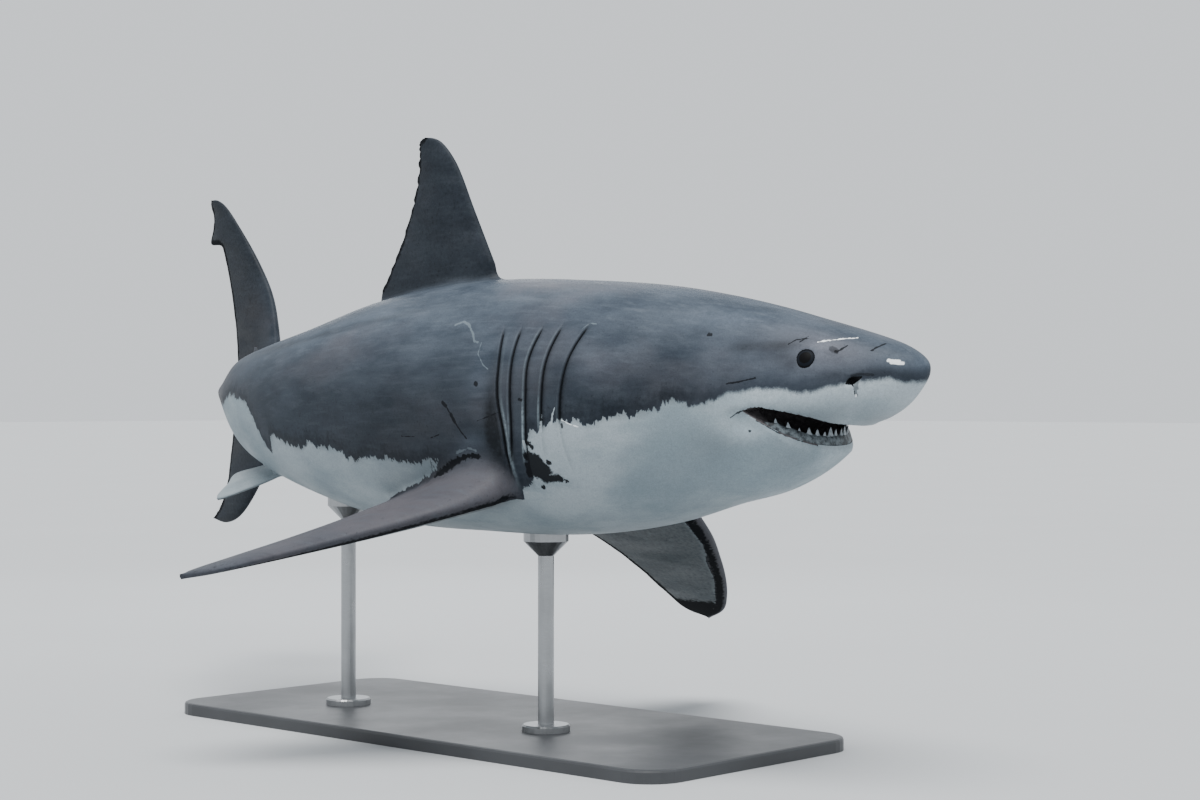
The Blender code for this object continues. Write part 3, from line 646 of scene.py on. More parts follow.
def eyeSeat(sign):
    # where an eye meets the skin, which way it looks, and the turn of its ball
    here, out = straightNormal(eye["back"], eye["up"], sign)
    return Vector(here * length), Vector(out), Vector(out).to_track_quat("Z", "Y").to_matrix()


print("stage: eye sockets and nostrils")
for sign in (1, -1):
    here, out, turn = eyeSeat(sign)
    ball = bmesh.new()
    ballMesh(ball, here + out * eye["socketOut"],
             (eye["showing"], eye["showing"], eye["socketDeep"]), turn)
    joinBoolean(skin, roughObject("socket", ball, "socket"), "DIFFERENCE")
    for cut in nostril["cuts"]:
        slot = roughObject("nostrilSlot", nostrilMesh(cut, sign), "nostril")
        joinBoolean(skin, slot, "DIFFERENCE")
softenSeams(skin, ("socket", "nostril"), 0.003, 2)
print("skin faces", len(skin.data.polygons))


markings = dict(
    headEnd=0.17,  # each side of the head and of the rest has a material
    border=(  # back, up: grey above, white below
        (0.000, -0.0050), (0.005, -0.0056), (0.010, -0.0060), (0.014, -0.0046), (0.022, -0.0026),
        (0.029, -0.0032), (0.042, -0.0048), (0.051, -0.0052), (0.058, -0.0072), (0.067, -0.0092),
        (0.077, -0.0086), (0.086, -0.0070), (0.098, -0.0058), (0.115, -0.0072), (0.125, -0.0095),
        (0.129, -0.0118), (0.131, -0.0142), (0.133, -0.0116), (0.135, -0.0152), (0.137, -0.0120),
        (0.139, -0.0156), (0.1415, -0.0124), (0.144, -0.0160), (0.148, -0.0138), (0.164, -0.0130),
        (0.170, -0.0175), (0.177, -0.0190), (0.190, -0.0202), (0.201, -0.0224), (0.211, -0.0245),
        (0.220, -0.0225), (0.228, -0.0208), (0.235, -0.0205), (0.240, -0.0222), (0.246, -0.0250),
        (0.252, -0.0275), (0.258, -0.0300), (0.2612, -0.0330), (0.264, -0.0560), (0.272, -0.0650),
        (0.284, -0.0680), (0.292, -0.0620), (0.302, -0.0600), (0.312, -0.0610), (0.325, -0.0600),
        (0.335, -0.0560), (0.345, -0.0480), (0.365, -0.0490), (0.385, -0.0495), (0.410, -0.0465),
        (0.435, -0.0445), (0.446, -0.0495), (0.458, -0.0430),
        (0.472, -0.0375), (0.485, -0.0395), (0.494, -0.0368), (0.503, -0.0346), (0.517, -0.0398),
        (0.527, -0.0380), (0.536, -0.0356), (0.544, -0.0330), (0.551, -0.0300), (0.557, -0.0296),
        (0.562, -0.0340), (0.566, -0.0410), (0.571, -0.0375), (0.575, -0.0300), (0.581, -0.0205),
        (0.589, -0.0105), (0.602, -0.0028), (0.618, 0.0008), (0.642, 0.0004), (0.660, -0.0040),
        (0.700, -0.0090), (0.740, -0.0100),
        (0.780, -0.0130), (0.820, -0.0200), (1.000, -0.0300)),
    # soft darker and, below zero, lighter places: back, up, reach along, reach up, strength
    # some are patches of the skin's own tone; others are painted shade under the snout and the chin,
    # above the upper lip, below the furrow behind the mouth and in the hollow behind the last gill slit,
    # and a painted highlight on the bulge of the jaw
    shades=(
        (0.0900, 0.0215, 0.0140, 0.0034, 0.65), (0.1120, 0.0215, 0.0110, 0.0036, 0.50),
        (0.0870, 0.0150, 0.0080, 0.0050, 0.30), (0.0790, 0.0095, 0.0055, 0.0042, 0.40),
        (0.0610, 0.0200, 0.0090, 0.0070, -0.45), (0.0260, 0.0010, 0.0120, 0.0034, 0.42),
        (0.0100, -0.0010, 0.0060, 0.0035, 0.30), (0.0020, 0.0060, 0.0040, 0.0055, -0.40),
        (0.0500, 0.0010, 0.0120, 0.0040, 0.30), (0.1250, 0.0400, 0.0350, 0.0070, -0.40),
        (0.2000, -0.0110, 0.0350, 0.0090, 0.15), (0.2050, 0.0140, 0.0180, 0.0120, -0.25),
        (0.1550, -0.0060, 0.0280, 0.0080, 0.12), (0.3020, 0.0080, 0.0110, 0.0200, -0.40),
        (0.3130, -0.0370, 0.0120, 0.0070, -0.45), (0.2900, -0.0330, 0.0060, 0.0280, 0.95),
        (0.4200, -0.0200, 0.0900, 0.0220, 0.12), (0.1120, 0.0060, 0.0200, 0.0060, 0.15),
        (0.1150, -0.0195, 0.0070, 0.0022, 0.35), (0.1080, -0.0320, 0.0130, 0.0065, -0.35),
        (0.0830, -0.0560, 0.0200, 0.0120, 0.25), (0.1350, -0.0400, 0.0160, 0.0120, 0.18),
        (0.0425, -0.0330, 0.0460, 0.0120, 0.42), (0.0840, -0.0230, 0.0320, 0.0070, 0.30)),
    # by kind and side, 0 being both: each mark's half width and its points, (back, up)
    marks={
        ("white", -1): (
            (0.0002, (0.0650, 0.0224), (0.0560, 0.0233)), (0.0005, (0.0625, 0.0228), (0.0590, 0.0233)),
            (0.0002, (0.0560, 0.0233), (0.0438, 0.0238)), (0.0004, (0.0530, 0.0236), (0.0480, 0.0238)),
            (0.0009, (0.0202, 0.0088), (0.0145, 0.0079)), (0.0010, (0.0184, 0.0075), (0.0124, 0.0066)),
            (0.0003, (0.2322, -0.0208), (0.2263, -0.0238), (0.2204, -0.0257))),
        # a soft dark patch ahead of the right eye
        ("softDarkAndShade", -1): (
            (0.0016, (0.0550, 0.0180), (0.0512, 0.0158)),),
        ("dark", -1): (
            (0.0008, (0.0522, 0.0161), (0.0508, 0.0156)), (0.0007, (0.0508, 0.0157), (0.0466, 0.0192)),
            (0.0007, (0.0314, 0.0156), (0.0266, 0.0190)), (0.0011, (0.1382, 0.0307), (0.1368, 0.0306)),
            (0.0005, (0.1209, -0.0014), (0.1140, -0.0006), (0.1022, 0.0014)),
            (0.0004, (0.0830, 0.0222), (0.0796, 0.0246), (0.0722, 0.0250)),
            (0.0004, (0.0763, 0.0232), (0.0730, 0.0262)), (0.0006, (0.1080, -0.0322), (0.1074, -0.0322)),
            (0.0014, (0.3379, -0.0069), (0.3345, -0.0093)),
            (0.0005, (0.3345, -0.0093), (0.3299, -0.0150)),
            (0.0013, (0.3299, -0.0150), (0.3262, -0.0203)),
            (0.0006, (0.3262, -0.0203), (0.3218, -0.0262), (0.3165, -0.0318)),
            (0.0003, (0.3034, -0.0199), (0.2930, -0.0173), (0.2828, -0.0144)),
            (0.0016, (0.3050, 0.0056), (0.3040, 0.0048)), (0.0010, (0.2651, -0.0062), (0.2628, -0.0068)),
            (0.0003, (0.3543, -0.0314), (0.3447, -0.0291))),
        ("dark", 0): (
            # the furrow behind the mouth's corner and the line where the lower lip meets the gum:
            # painted shade in the furrow and the gap
            (0.0005, (0.1112, -0.0192), (0.1150, -0.0206), (0.1190, -0.0232)),
            (0.0003, (0.1030, -0.0257), (0.0960, -0.0306), (0.0915, -0.0340), (0.0821, -0.0393),
             (0.0740, -0.0434)),
            (0.0010, (0.2324, -0.0236), (0.2322, -0.0256)),
            (0.0003, (0.3860, -0.0300), (0.3720, -0.0303))),
        # painted shade ahead of the nostril and in the groove below it
        ("softDarkAndShade", 0): (
            (0.0008, (0.0400, 0.0004), (0.0350, 0.0012), (0.0280, 0.0002)),
            (0.0014, (0.0372, -0.0040), (0.0380, -0.0075)),
            (0.0008, (0.0380, -0.0075), (0.0387, -0.0120))),
        ("white", 0): (
            (0.0003, (0.0392, -0.0128), (0.0388, -0.0118)),),
        ("dark", 1): (
            (0.0005, (0.0830, 0.0200), (0.0740, 0.0222)), (0.0007, (0.3600, 0.0120), (0.3560, -0.0040)),
            (0.0015, (0.2960, 0.0100), (0.2950, 0.0095))),
        ("white", 1): (
            (0.0005, (0.0960, 0.0160), (0.0900, 0.0190)),),
        # dark blotches low between the gill slits, and a painted shadow band just above the pectoral
        # fin's root
        ("blotchAndShadow", 0): (
            (0.0036, (0.2630, -0.0450), (0.2560, -0.0475), (0.2510, -0.0550)),
            (0.0044, (0.2610, -0.0505), (0.2540, -0.0560)),
            (0.0046, (0.2620, -0.0545), (0.2545, -0.0590)),
            (0.0028, (0.2520, -0.0605), (0.2440, -0.0602)),
            (0.0028, (0.2660, -0.0570), (0.2655, -0.0520)),
            (0.0019, (0.2618, -0.0358), (0.2588, -0.0384)),
            (0.0014, (0.2490, -0.0492), (0.2470, -0.0494)),
            (0.0008, (0.2402, -0.0616), (0.2388, -0.0619)),
            (0.0010, (0.2606, -0.0660), (0.2596, -0.0663)),
            (0.0030, (0.3600, -0.0610), (0.3513, -0.0565), (0.3420, -0.0520)),
            (0.0026, (0.3420, -0.0520), (0.3290, -0.0468)),
            (0.0018, (0.3290, -0.0468), (0.3165, -0.0436), (0.3070, -0.0448))),
        ("flame", 0): (
            (0.0003, (0.2366, -0.0125), (0.2385, -0.0165)),
            (0.0007, (0.2385, -0.0165), (0.2402, -0.0230)),
            (0.0003, (0.2478, -0.0170), (0.2482, -0.0215)),
            (0.0007, (0.2482, -0.0215), (0.2490, -0.0280)),
            (0.0004, (0.2640, -0.0340), (0.2648, -0.0440))),
        ("wisp", 0): (
            (0.0006, (0.3290, -0.0418), (0.3200, -0.0396)),
            (0.0005, (0.3165, -0.0385), (0.3100, -0.0405))),
        ("pale", -1): (
            (0.0007, (0.3406, 0.0466), (0.3339, 0.0487), (0.3258, 0.0463), (0.3179, 0.0402),
             (0.3139, 0.0345), (0.3099, 0.0337)),
            (0.0003, (0.3060, 0.0332), (0.3065, 0.0257), (0.2995, 0.0178), (0.2943, 0.0150))),
        ("pale", 0): (
            (0.0003, (0.2251, 0.0390), (0.2215, 0.0425), (0.2165, 0.0416)),),
        ("pale", 1): (
            (0.0005, (0.4050, 0.0250), (0.4200, 0.0120), (0.4280, 0.0105)),)})


def borderDepth(back, up):
    line = np.array(markings["border"])
    return smoothCurve(line[:, 0], line[:, 1], back) - up


def ofPlane(points, plane):
    # a paired fin's own back, out and thickness for points on it
    kind, sign, droop, twist, sweep = plane
    droop, twist, sweep = (math.radians(a) for a in (droop, twist, sweep))
    rootBack, rootOut, rootUp = fins[kind]["at"]
    back = points[:, 0] - rootBack
    outward = points[:, 1] * sign - rootOut
    upward = points[:, 2] - rootUp
    sweptOut = outward * math.cos(droop) - upward * math.sin(droop)
    normal = outward * math.sin(droop) + upward * math.cos(droop)
    sweptBack = back * math.cos(twist) - normal * math.sin(twist)
    thickness = back * math.sin(twist) + normal * math.cos(twist)
    ownBack = sweptBack * math.cos(sweep) - sweptOut * math.sin(sweep)
    ownOut = sweptOut * math.cos(sweep) + sweptBack * math.sin(sweep)
    return ownBack, ownOut, thickness


def edgeDistance(shape, flat, which):
    line = outlineCurve(shape[which], np.linspace(0, 1, 60))
    return awayFrom(flat, line)[0]


finTones = dict(
    # grey, the depth at which it lies in the white, and the dark trailing rim's strength and width
    upright=dict(firstDorsal=(0.75, -0.02, 0.80, 0.007), secondDorsal=(0.66, -0.02, 0.80, 0.007),
                 anal=(0.45, 0.004, 0.80, 0.007)),
    caudal=dict(pale=-0.02, rim=(0.85, 0.010), grey=(0.52, 0.32), deeper=(0.83, 0.89)),
    # a held fin's dark tip and rim, each with its strength on the lower and the upper side
    tip=(0.80, 0.92), rim=(0.001, 0.010), tipDark=(1.0, 0.3), rimDark=(0.9, 0.5),
    # grey: the painted shade on a held fin's white lower side, then the grey of its upper side
    worn=dict(pectoral=1.0, pelvic=0.35), grey=(0.84, 0.42), under=(-0.0002, 0.0004),
    # the dark front of the pectoral fins: where the white starts; the band's place, width, strength
    wrap=(0.0070, 0.0100), front=(0.0052, 0.0042, 0.80))
bodyTones = dict(
    # low: painted shade, darker towards the bottom: the heights it runs between, where along the body it
    # begins, and its strength on the grey and less on the white
    low=(-0.005, 0.060), lowFrom=(0.09, 0.17), lowGrey=(0.52, 0.34),
    # painted shade in the crease and painted light beside it: off the crease, half width and strength;
    # then the middle and half of the way it shows
    crease=((0.0, 0.0018, 0.40), (0.0050, 0.0040, -0.15)), creaseWay=(0.45, 0.45),
    # gills: how the painted rim highlight fades upward, the half width of the painted slit shade, and
    # the strength and reach of the painted shade ahead of each slit
    gillRimHighlight=(0.18, 0.72), gillSlit=0.0005, gillShade=(0.45, 0.0028),
    warm=(0.05, 0.020, 0.05, 0.02, 0.5))  # a browner head: back, up, reach along, reach up, strength


def uprightTones(tones, points, kind):
    for name, (grey, pale, strength, wide) in finTones["upright"].items():
        on = kind == origin[name]
        flat = points[on][:, [0, 2]]
        tones["pale"][on] = pale
        tones["dark"][on] = strength * (1 - ease(edgeDistance(fins[name], flat, "trail"), 0.0, wide))
        foot = abs(fins[name]["trail"][0][1])
        tones["shade"][on] = grey * ease(np.abs(flat[:, 1]), foot, foot + 0.02)
    on = kind == origin["caudal"]
    flat = points[on][:, [0, 2]]
    rim = np.minimum(edgeDistance(fins["caudalUpper"], flat, "trail"),
                     edgeDistance(fins["caudalLower"], flat, "trail"))
    caudal = finTones["caudal"]
    tones["pale"][on] = caudal["pale"]
    tones["dark"][on] = caudal["rim"][0] * (1 - ease(rim, 0.0, caudal["rim"][1]))
    tones["shade"][on] = caudal["grey"][0] + caudal["grey"][1] * ease(flat[:, 0], *caudal["deeper"])


def heldTones(tones, points, kind):
    for plane in fins["held"]:
        name, sign = plane[0], plane[1]
        on = (kind == origin[name]) & (points[:, 1] * sign > 0)
        ownBack, ownOut, thickness = ofPlane(points[on], plane)
        flat = np.stack([ownBack, ownOut], -1)
        span = fins[name]["lead"][-1][1]
        size = span / fins["pectoral"]["lead"][-1][1]
        lead = edgeDistance(fins[name], flat, "lead")
        trail = edgeDistance(fins[name], flat, "trail")
        under, front = ease(-thickness, *finTones["under"]), 0.0
        if name == "pectoral":
            at, wide, strength = finTones["front"]
            under = under * ease(lead, *finTones["wrap"])
            front = bump(lead - at, wide) * (thickness < 0) * strength
        tip = ease(ownOut / span, *finTones["tip"])
        rim = 1 - ease(trail, *(size * wide for wide in finTones["rim"]))
        tip = tip * np.where(under > 0.5, *finTones["tipDark"])
        rim = rim * np.where(under > 0.5, *finTones["rimDark"])
        below, above = finTones["grey"]
        tones["pale"][on] = 0.03 * np.maximum(under, name == "pelvic") - 0.015
        tones["dark"][on] = np.maximum(np.maximum(tip, rim), front) * finTones["worn"][name]
        tones["warm"][on] = (1 - under) * (1 - 0.6 * ownOut / span)
        # the white lower side darker away from the root: painted shade
        tones["shade"][on] = under * below * ease(ownOut, 0.0, 0.05) + (1 - under) * above


def bodyShade(tones, points, kind):
    back, left, up = points.T
    onBody = (kind == 0) * ease(np.abs(left), 0.012, 0.03)
    # painted shade: the flank and the belly darker towards the bottom, as if lit from above, and less on
    # the white
    low = 1 - ease(up, *bodyTones["low"])
    low = low * ease(back, *bodyTones["lowFrom"]) * (kind == 0)
    grey, lighter = bodyTones["lowGrey"]
    shade = tones["shade"]
    shade += low * (grey - lighter * ease(tones["pale"], -0.002, 0.002))
    # the soft patches on the body: some the skin's own tone, some painted shade and light
    for atBack, atUp, along, high, strength in markings["shades"]:
        near = bump(np.hypot((back - atBack) / along, (up - atUp) / high), 1.0)
        shade += strength * near * (kind == 0) * np.maximum(onBody, 1 - ease(back, 0.03, 0.07))
    # painted shade in the crease along the flank, and painted light beside it
    crease, share = awayFrom(points[:, [0, 2]], body["crease"])
    middle, half = bodyTones["creaseWay"]
    for beside, wide, strength in bodyTones["crease"]:
        shade += strength * bump(crease - beside, wide) * bump(share - middle, half) * onBody
    atBack, atUp, along, high, strength = bodyTones["warm"]
    near = bump(np.hypot((back - atBack) / along, (up - atUp) / high), 1.0)
    tones["warm"] += onBody * strength * near


def gillTones(tones, points, kind):
    back, left, up = points.T
    onBody = (kind == 0) * ease(np.abs(left), 0.012, 0.03)
    least, more = bodyTones["gillRimHighlight"]
    fainter = least + more * ease(-up, 0.0, 0.02)
    strongest, wide = bodyTones["gillShade"]
    for k in range(5):
        gap = back - slitLine(k, up)
        strength = slitStrength(k, up) * onBody
        behind, half, light = gills["rims"][k]
        # painted highlight on the raised rim beside the slit, fainter higher up
        rim = bump(gap - behind, half) * light * fainter * strength
        # painted shade in the slit itself
        slit = bump(gap + 0.0001, bodyTones["gillSlit"]) * strength
        tones["rimHighlight"] = np.maximum(tones["rimHighlight"], rim)
        tones["slitShade"] = np.maximum(tones["slitShade"], slit)
        # painted shade in the hollow just ahead of the slit
        ahead = bump(np.minimum(gap, 0), wide) * (gap < 0.0004)
        tones["shade"] += strongest * ahead * strength


def skinFields(points, kind):
    # pale: how deep in the white; dark: fin tips and rims; warm: browner; shade: soft tone, with painted
    # shade and light; rimHighlight and slitShade: painted light and shade at the gills
    tones = dict(pale=borderDepth(points[:, 0], points[:, 2]))
    for name in ("dark", "warm", "shade", "rimHighlight", "slitShade"):
        tones[name] = np.zeros(len(points))
    for add in (uprightTones, heldTones, bodyShade, gillTones):
        add(tones, points, kind)
    tones["pale"] *= length
    tones["shade"] = np.clip(tones["shade"], -1, 1)
    return tones


def spotsOf(mesh):
    flat = np.zeros(len(mesh.vertices) * 3)
    mesh.vertices.foreach_get("co", flat)
    return flat.reshape(-1, 3)


def addField(mesh, name, values):
    values = np.asarray(values, np.float32)
    kind, key = ("FLOAT", "value") if values.ndim == 1 else ("FLOAT_VECTOR", "vector")
    mesh.attributes.new(name, kind, "POINT").data.foreach_set(key, values.ravel())


print("stage: markings")
mesh = skin.data
count = len(mesh.vertices)
straight = spotsOf(mesh)
kindOf, leastKind = np.zeros(count, int), np.full(count, 99)
for polygon in mesh.polygons:
    for index in polygon.vertices:
        kindOf[index] = max(kindOf[index], polygon.material_index)
        leastKind[index] = min(leastKind[index], polygon.material_index)
kindOf[kindOf >= origin["gape"]] = 0
addField(mesh, "place", straight)
# where a point lies in side view, with the fins set aside
sideView = straight.copy()
sideView[:, 1] = np.where((kindOf == 0) | (leastKind == 0), 0, 0.3)
addField(mesh, "sideView", sideView)
ends = np.zeros(len(mesh.edges) * 2, int)
mesh.edges.foreach_get("vertices", ends)
ends = ends.reshape(-1, 2)
nearSeam = np.zeros(count, bool)
nearSeam[ends[kindOf[ends[:, 0]] != kindOf[ends[:, 1]]]] = True
for _ in range(2):
    nearSeam[ends[nearSeam[ends].any(axis=1)]] = True


def overSeams(values):
    # blends a field where a fin grows out of the body
    for _ in range(6):
        total, near = np.zeros(count), np.zeros(count)
        for a, b in ((0, 1), (1, 0)):
            np.add.at(total, ends[:, a], values[ends[:, b]])
            np.add.at(near, ends[:, a], 1)
        values = np.where(nearSeam, total / np.maximum(near, 1), values)
    return values


for name, values in skinFields(straight / length, kindOf).items():
    addField(mesh, name, overSeams(values))


def layAlongCurve(obj):
    bent = toWorld(spotsOf(obj.data) / length)
    obj.data.vertices.foreach_set("co", bent.ravel().astype(np.float32))
    obj.data.update()


layAlongCurve(skin)
slotOf = [polygon.material_index for polygon in mesh.polygons]
mesh.materials.clear()
finishes = ("headRight", "headLeft", "trunkRight", "trunkLeft", "mouthLining", "socketShadeLining")
finishFrom = {origin["gape"]: 4, origin["hollow"]: 4, origin["socket"]: 5, origin["nostril"]: 5}
for polygon, slot in zip(mesh.polygons, slotOf):
    back, left, up = straight[list(polygon.vertices)].mean(axis=0) / length
    if slot == origin["gape"] and up < lipUp(back) - 0.0004:
        slot = origin["body"]  # the front of the chin
    region = (0 if back < markings["headEnd"] else 2) + (left > 0)
    polygon.material_index = finishFrom.get(slot, region)
mesh.shade_smooth()
mesh.set_sharp_from_angle(angle=math.radians(55))


def newMaterial(name):
    material = bpy.data.materials.new(name)
    material.use_nodes = True
    return material, material.node_tree, material.node_tree.nodes["Principled BSDF"]


def addNode(tree, kind, inputs=None, **settings):
    node = tree.nodes.new(kind)
    for key, value in settings.items():
        setattr(node, key, value)
    for key, value in (inputs or {}).items():
        if isinstance(value, bpy.types.NodeSocket):
            tree.links.new(value, node.inputs[key])
        else:
            node.inputs[key].default_value = value
    return node


def calc(tree, operation, a, b=0.0, c=0.0, clamp=False):
    node = addNode(tree, "ShaderNodeMath", {0: a, 1: b, 2: c}, operation=operation)
    node.use_clamp = clamp
    return node.outputs[0]


def step(tree, value, low, high, toLow=0.0, toHigh=1.0):
    node = addNode(tree, "ShaderNodeMapRange", {"Value": value, "From Min": low, "From Max": high,
                                                "To Min": toLow, "To Max": toHigh},
                   interpolation_type="SMOOTHSTEP")
    return node.outputs["Result"]


def swing(tree, value, size, base=0.0):
    # a value round a half, made to swing round the base
    return calc(tree, "MULTIPLY_ADD", calc(tree, "SUBTRACT", value, 0.5), size, base)


def mixColour(tree, amount, a, b):
    node = addNode(tree, "ShaderNodeMix", data_type="RGBA")
    for socket, value in ((0, amount), (6, a), (7, b)):
        if isinstance(value, bpy.types.NodeSocket):
            tree.links.new(value, node.inputs[socket])
        elif socket == 0:
            node.inputs[0].default_value = value
        else:
            node.inputs[socket].default_value = (*value, 1.0)
    return node.outputs[2]


def noiseOn(tree, vector, scale, detail=4.0, rough=0.55, stretch=None, shift=None):
    if stretch or shift:
        mapping = addNode(tree, "ShaderNodeMapping", {"Vector": vector,
                                                      "Scale": stretch or (1, 1, 1),
                                                      "Location": shift or (0, 0, 0)})
        vector = mapping.outputs[0]
    return addNode(tree, "ShaderNodeTexNoise", {"Vector": vector, "Scale": scale, "Detail": detail,
                                                "Roughness": rough}).outputs["Fac"]


def attributeOf(tree, name, output="Fac"):
    return addNode(tree, "ShaderNodeAttribute", attribute_name=name).outputs[output]


def objectPlace(tree):
    return addNode(tree, "ShaderNodeTexCoord").outputs["Object"]


def bumpOf(tree, height, distance, strength, over=None):
    inputs = {"Height": height, "Distance": distance, "Strength": strength}
    if over is not None:
        inputs["Normal"] = over
    return addNode(tree, "ShaderNodeBump", inputs).outputs[0]


def finish(tree, shader, colour, haze, roughness, height, distance, strength):
    # the colour, a roughness that varies with the haze, and a fine relief
    tree.links.new(colour, shader.inputs["Base Color"])
    tree.links.new(step(tree, haze, 0.3, 0.7, *roughness), shader.inputs["Roughness"])
    tree.links.new(bumpOf(tree, height, distance, strength), shader.inputs["Normal"])


def strokeGroup():
    # how near a point lies to the line between two others, as a ragged mask
    group = bpy.data.node_groups.new("skinMark", "ShaderNodeTree")
    face = group.interface
    for name, kind in (("Place", "Vector"), ("From", "Vector"), ("To", "Vector"),
                       ("Width", "Float"), ("Wobble", "Float"), ("Before", "Float")):
        face.new_socket(name=name, in_out="INPUT", socket_type="NodeSocket" + kind)
    face.new_socket(name="Mask", in_out="OUTPUT", socket_type="NodeSocketFloat")
    start = group.nodes.new("NodeGroupInput").outputs
    end = group.nodes.new("NodeGroupOutput")

    def vector(operation, a, b=None, out=0):
        node = addNode(group, "ShaderNodeVectorMath", {0: a}, operation=operation)
        if b is not None:
            group.links.new(b, node.inputs["Scale" if operation == "SCALE" else 1])
        return node.outputs[out]
    toPoint = vector("SUBTRACT", start["Place"], start["From"])
    leg = vector("SUBTRACT", start["To"], start["From"])
    along = calc(group, "DIVIDE", vector("DOT_PRODUCT", toPoint, leg, 1),
                 vector("DOT_PRODUCT", leg, leg, 1), clamp=True)
    gap = vector("LENGTH", vector("SUBTRACT", toPoint, vector("SCALE", leg, along)), None, 1)
    wavy = calc(group, "ADD", gap, start["Wobble"])
    inner = calc(group, "MULTIPLY", start["Width"], 0.75)
    outer = calc(group, "MULTIPLY", start["Width"], 1.25)
    mask = step(group, wavy, inner, outer, 1.0, 0.0)
    group.links.new(calc(group, "MAXIMUM", mask, start["Before"]), end.inputs["Mask"])
    return group


def paintMarks(tree, group, place, kind, region, wobble):
    before = 0.0
    otherSide = (1, -1)[region % 2]
    marks = [mark for (what, side), group in markings["marks"].items()
             if what == kind and side != otherSide for mark in group]
    for wide, *line in marks:
        if (line[0][0] < markings["headEnd"]) != (region < 2):
            continue  # on the other material
        spots = [Vector((back, 0, up)) * length for back, up in line]
        for a, b in zip(spots, spots[1:]):
            node = addNode(tree, "ShaderNodeGroup", node_tree=group)
            tree.links.new(place, node.inputs["Place"])
            node.inputs["From"].default_value = a
            node.inputs["To"].default_value = b
            node.inputs["Width"].default_value = wide * length
            tree.links.new(wobble, node.inputs["Wobble"])
            if before:
                tree.links.new(before, node.inputs["Before"])
            before = node.outputs[0]
    return before


skinTones = dict(
    back=(0.044, 0.059, 0.080), backDeep=(0.016, 0.022, 0.031), backLight=(0.112, 0.132, 0.160),
    warm=(0.125, 0.116, 0.130), white=(0.380, 0.440, 0.475), whiteShade=(0.230, 0.290, 0.325),
    dark=(0.006, 0.007, 0.009), paleMark=(0.250, 0.310, 0.345), scar=(0.780, 0.820, 0.840),
    roughness=(0.42, 0.60), shine=0.09, grain=0.0004, wrinkle=0.0022,
    # what lies over the back and the underside: pattern, where it starts and ends, strength, tone
    backLayers=(("streak", 0.50, 0.80, 0.45, "backLight"), ("streak", 0.44, 0.20, 0.40, "backDeep"),
                ("thread", 0.48, 0.80, 0.30, "backLight"), ("small", 0.62, 0.72, 0.35, "backDeep")),
    whiteLayers=(("broad", 0.40, 0.70, 1.00, "whiteShade"), ("cloud", 0.45, 0.75, 0.60, "whiteShade"),
                 ("small", 0.64, 0.74, 0.30, "backLight")),
    marks=(("flame", 0.80, "white"), ("wisp", 0.30, "paleMark"), ("blotchAndShadow", 0.97, "dark"),
           ("softDarkAndShade", 0.60, "dark"), ("dark", 0.88, "dark"), ("pale", 0.28, "paleMark"),
           ("white", 0.95, "scar")))
skinPatterns = dict(  # scale, detail, roughness, and for some the stretch and the shift
    fine=(260, 3), small=(85, 4, 0.6), cloud=(9.0, 6, 0.62, (0.55, 1, 1.3)),
    broad=(3.2, 4, 0.55, (0.6, 1, 1), (3, 1, 2)), streak=(26, 5, 0.6, (0.16, 1, 1), (1, 5, 2)),
    thread=(70, 4, 0.6, (0.09, 1, 1), (4, 2, 7)), flame=(34, 3, 0.6, (1.0, 0.25, 0.25)),
    tooth=(110, 3, 0.6, (1.0, 0.4, 0.4)), blot=(64, 5, 0.70))


def layered(tree, colour, layers, patterns):
    for pattern, low, high, most, tone in layers:
        amount = step(tree, patterns[pattern], low, high, 0.0, most)
        colour = mixColour(tree, amount, colour, skinTones[tone])
    return colour


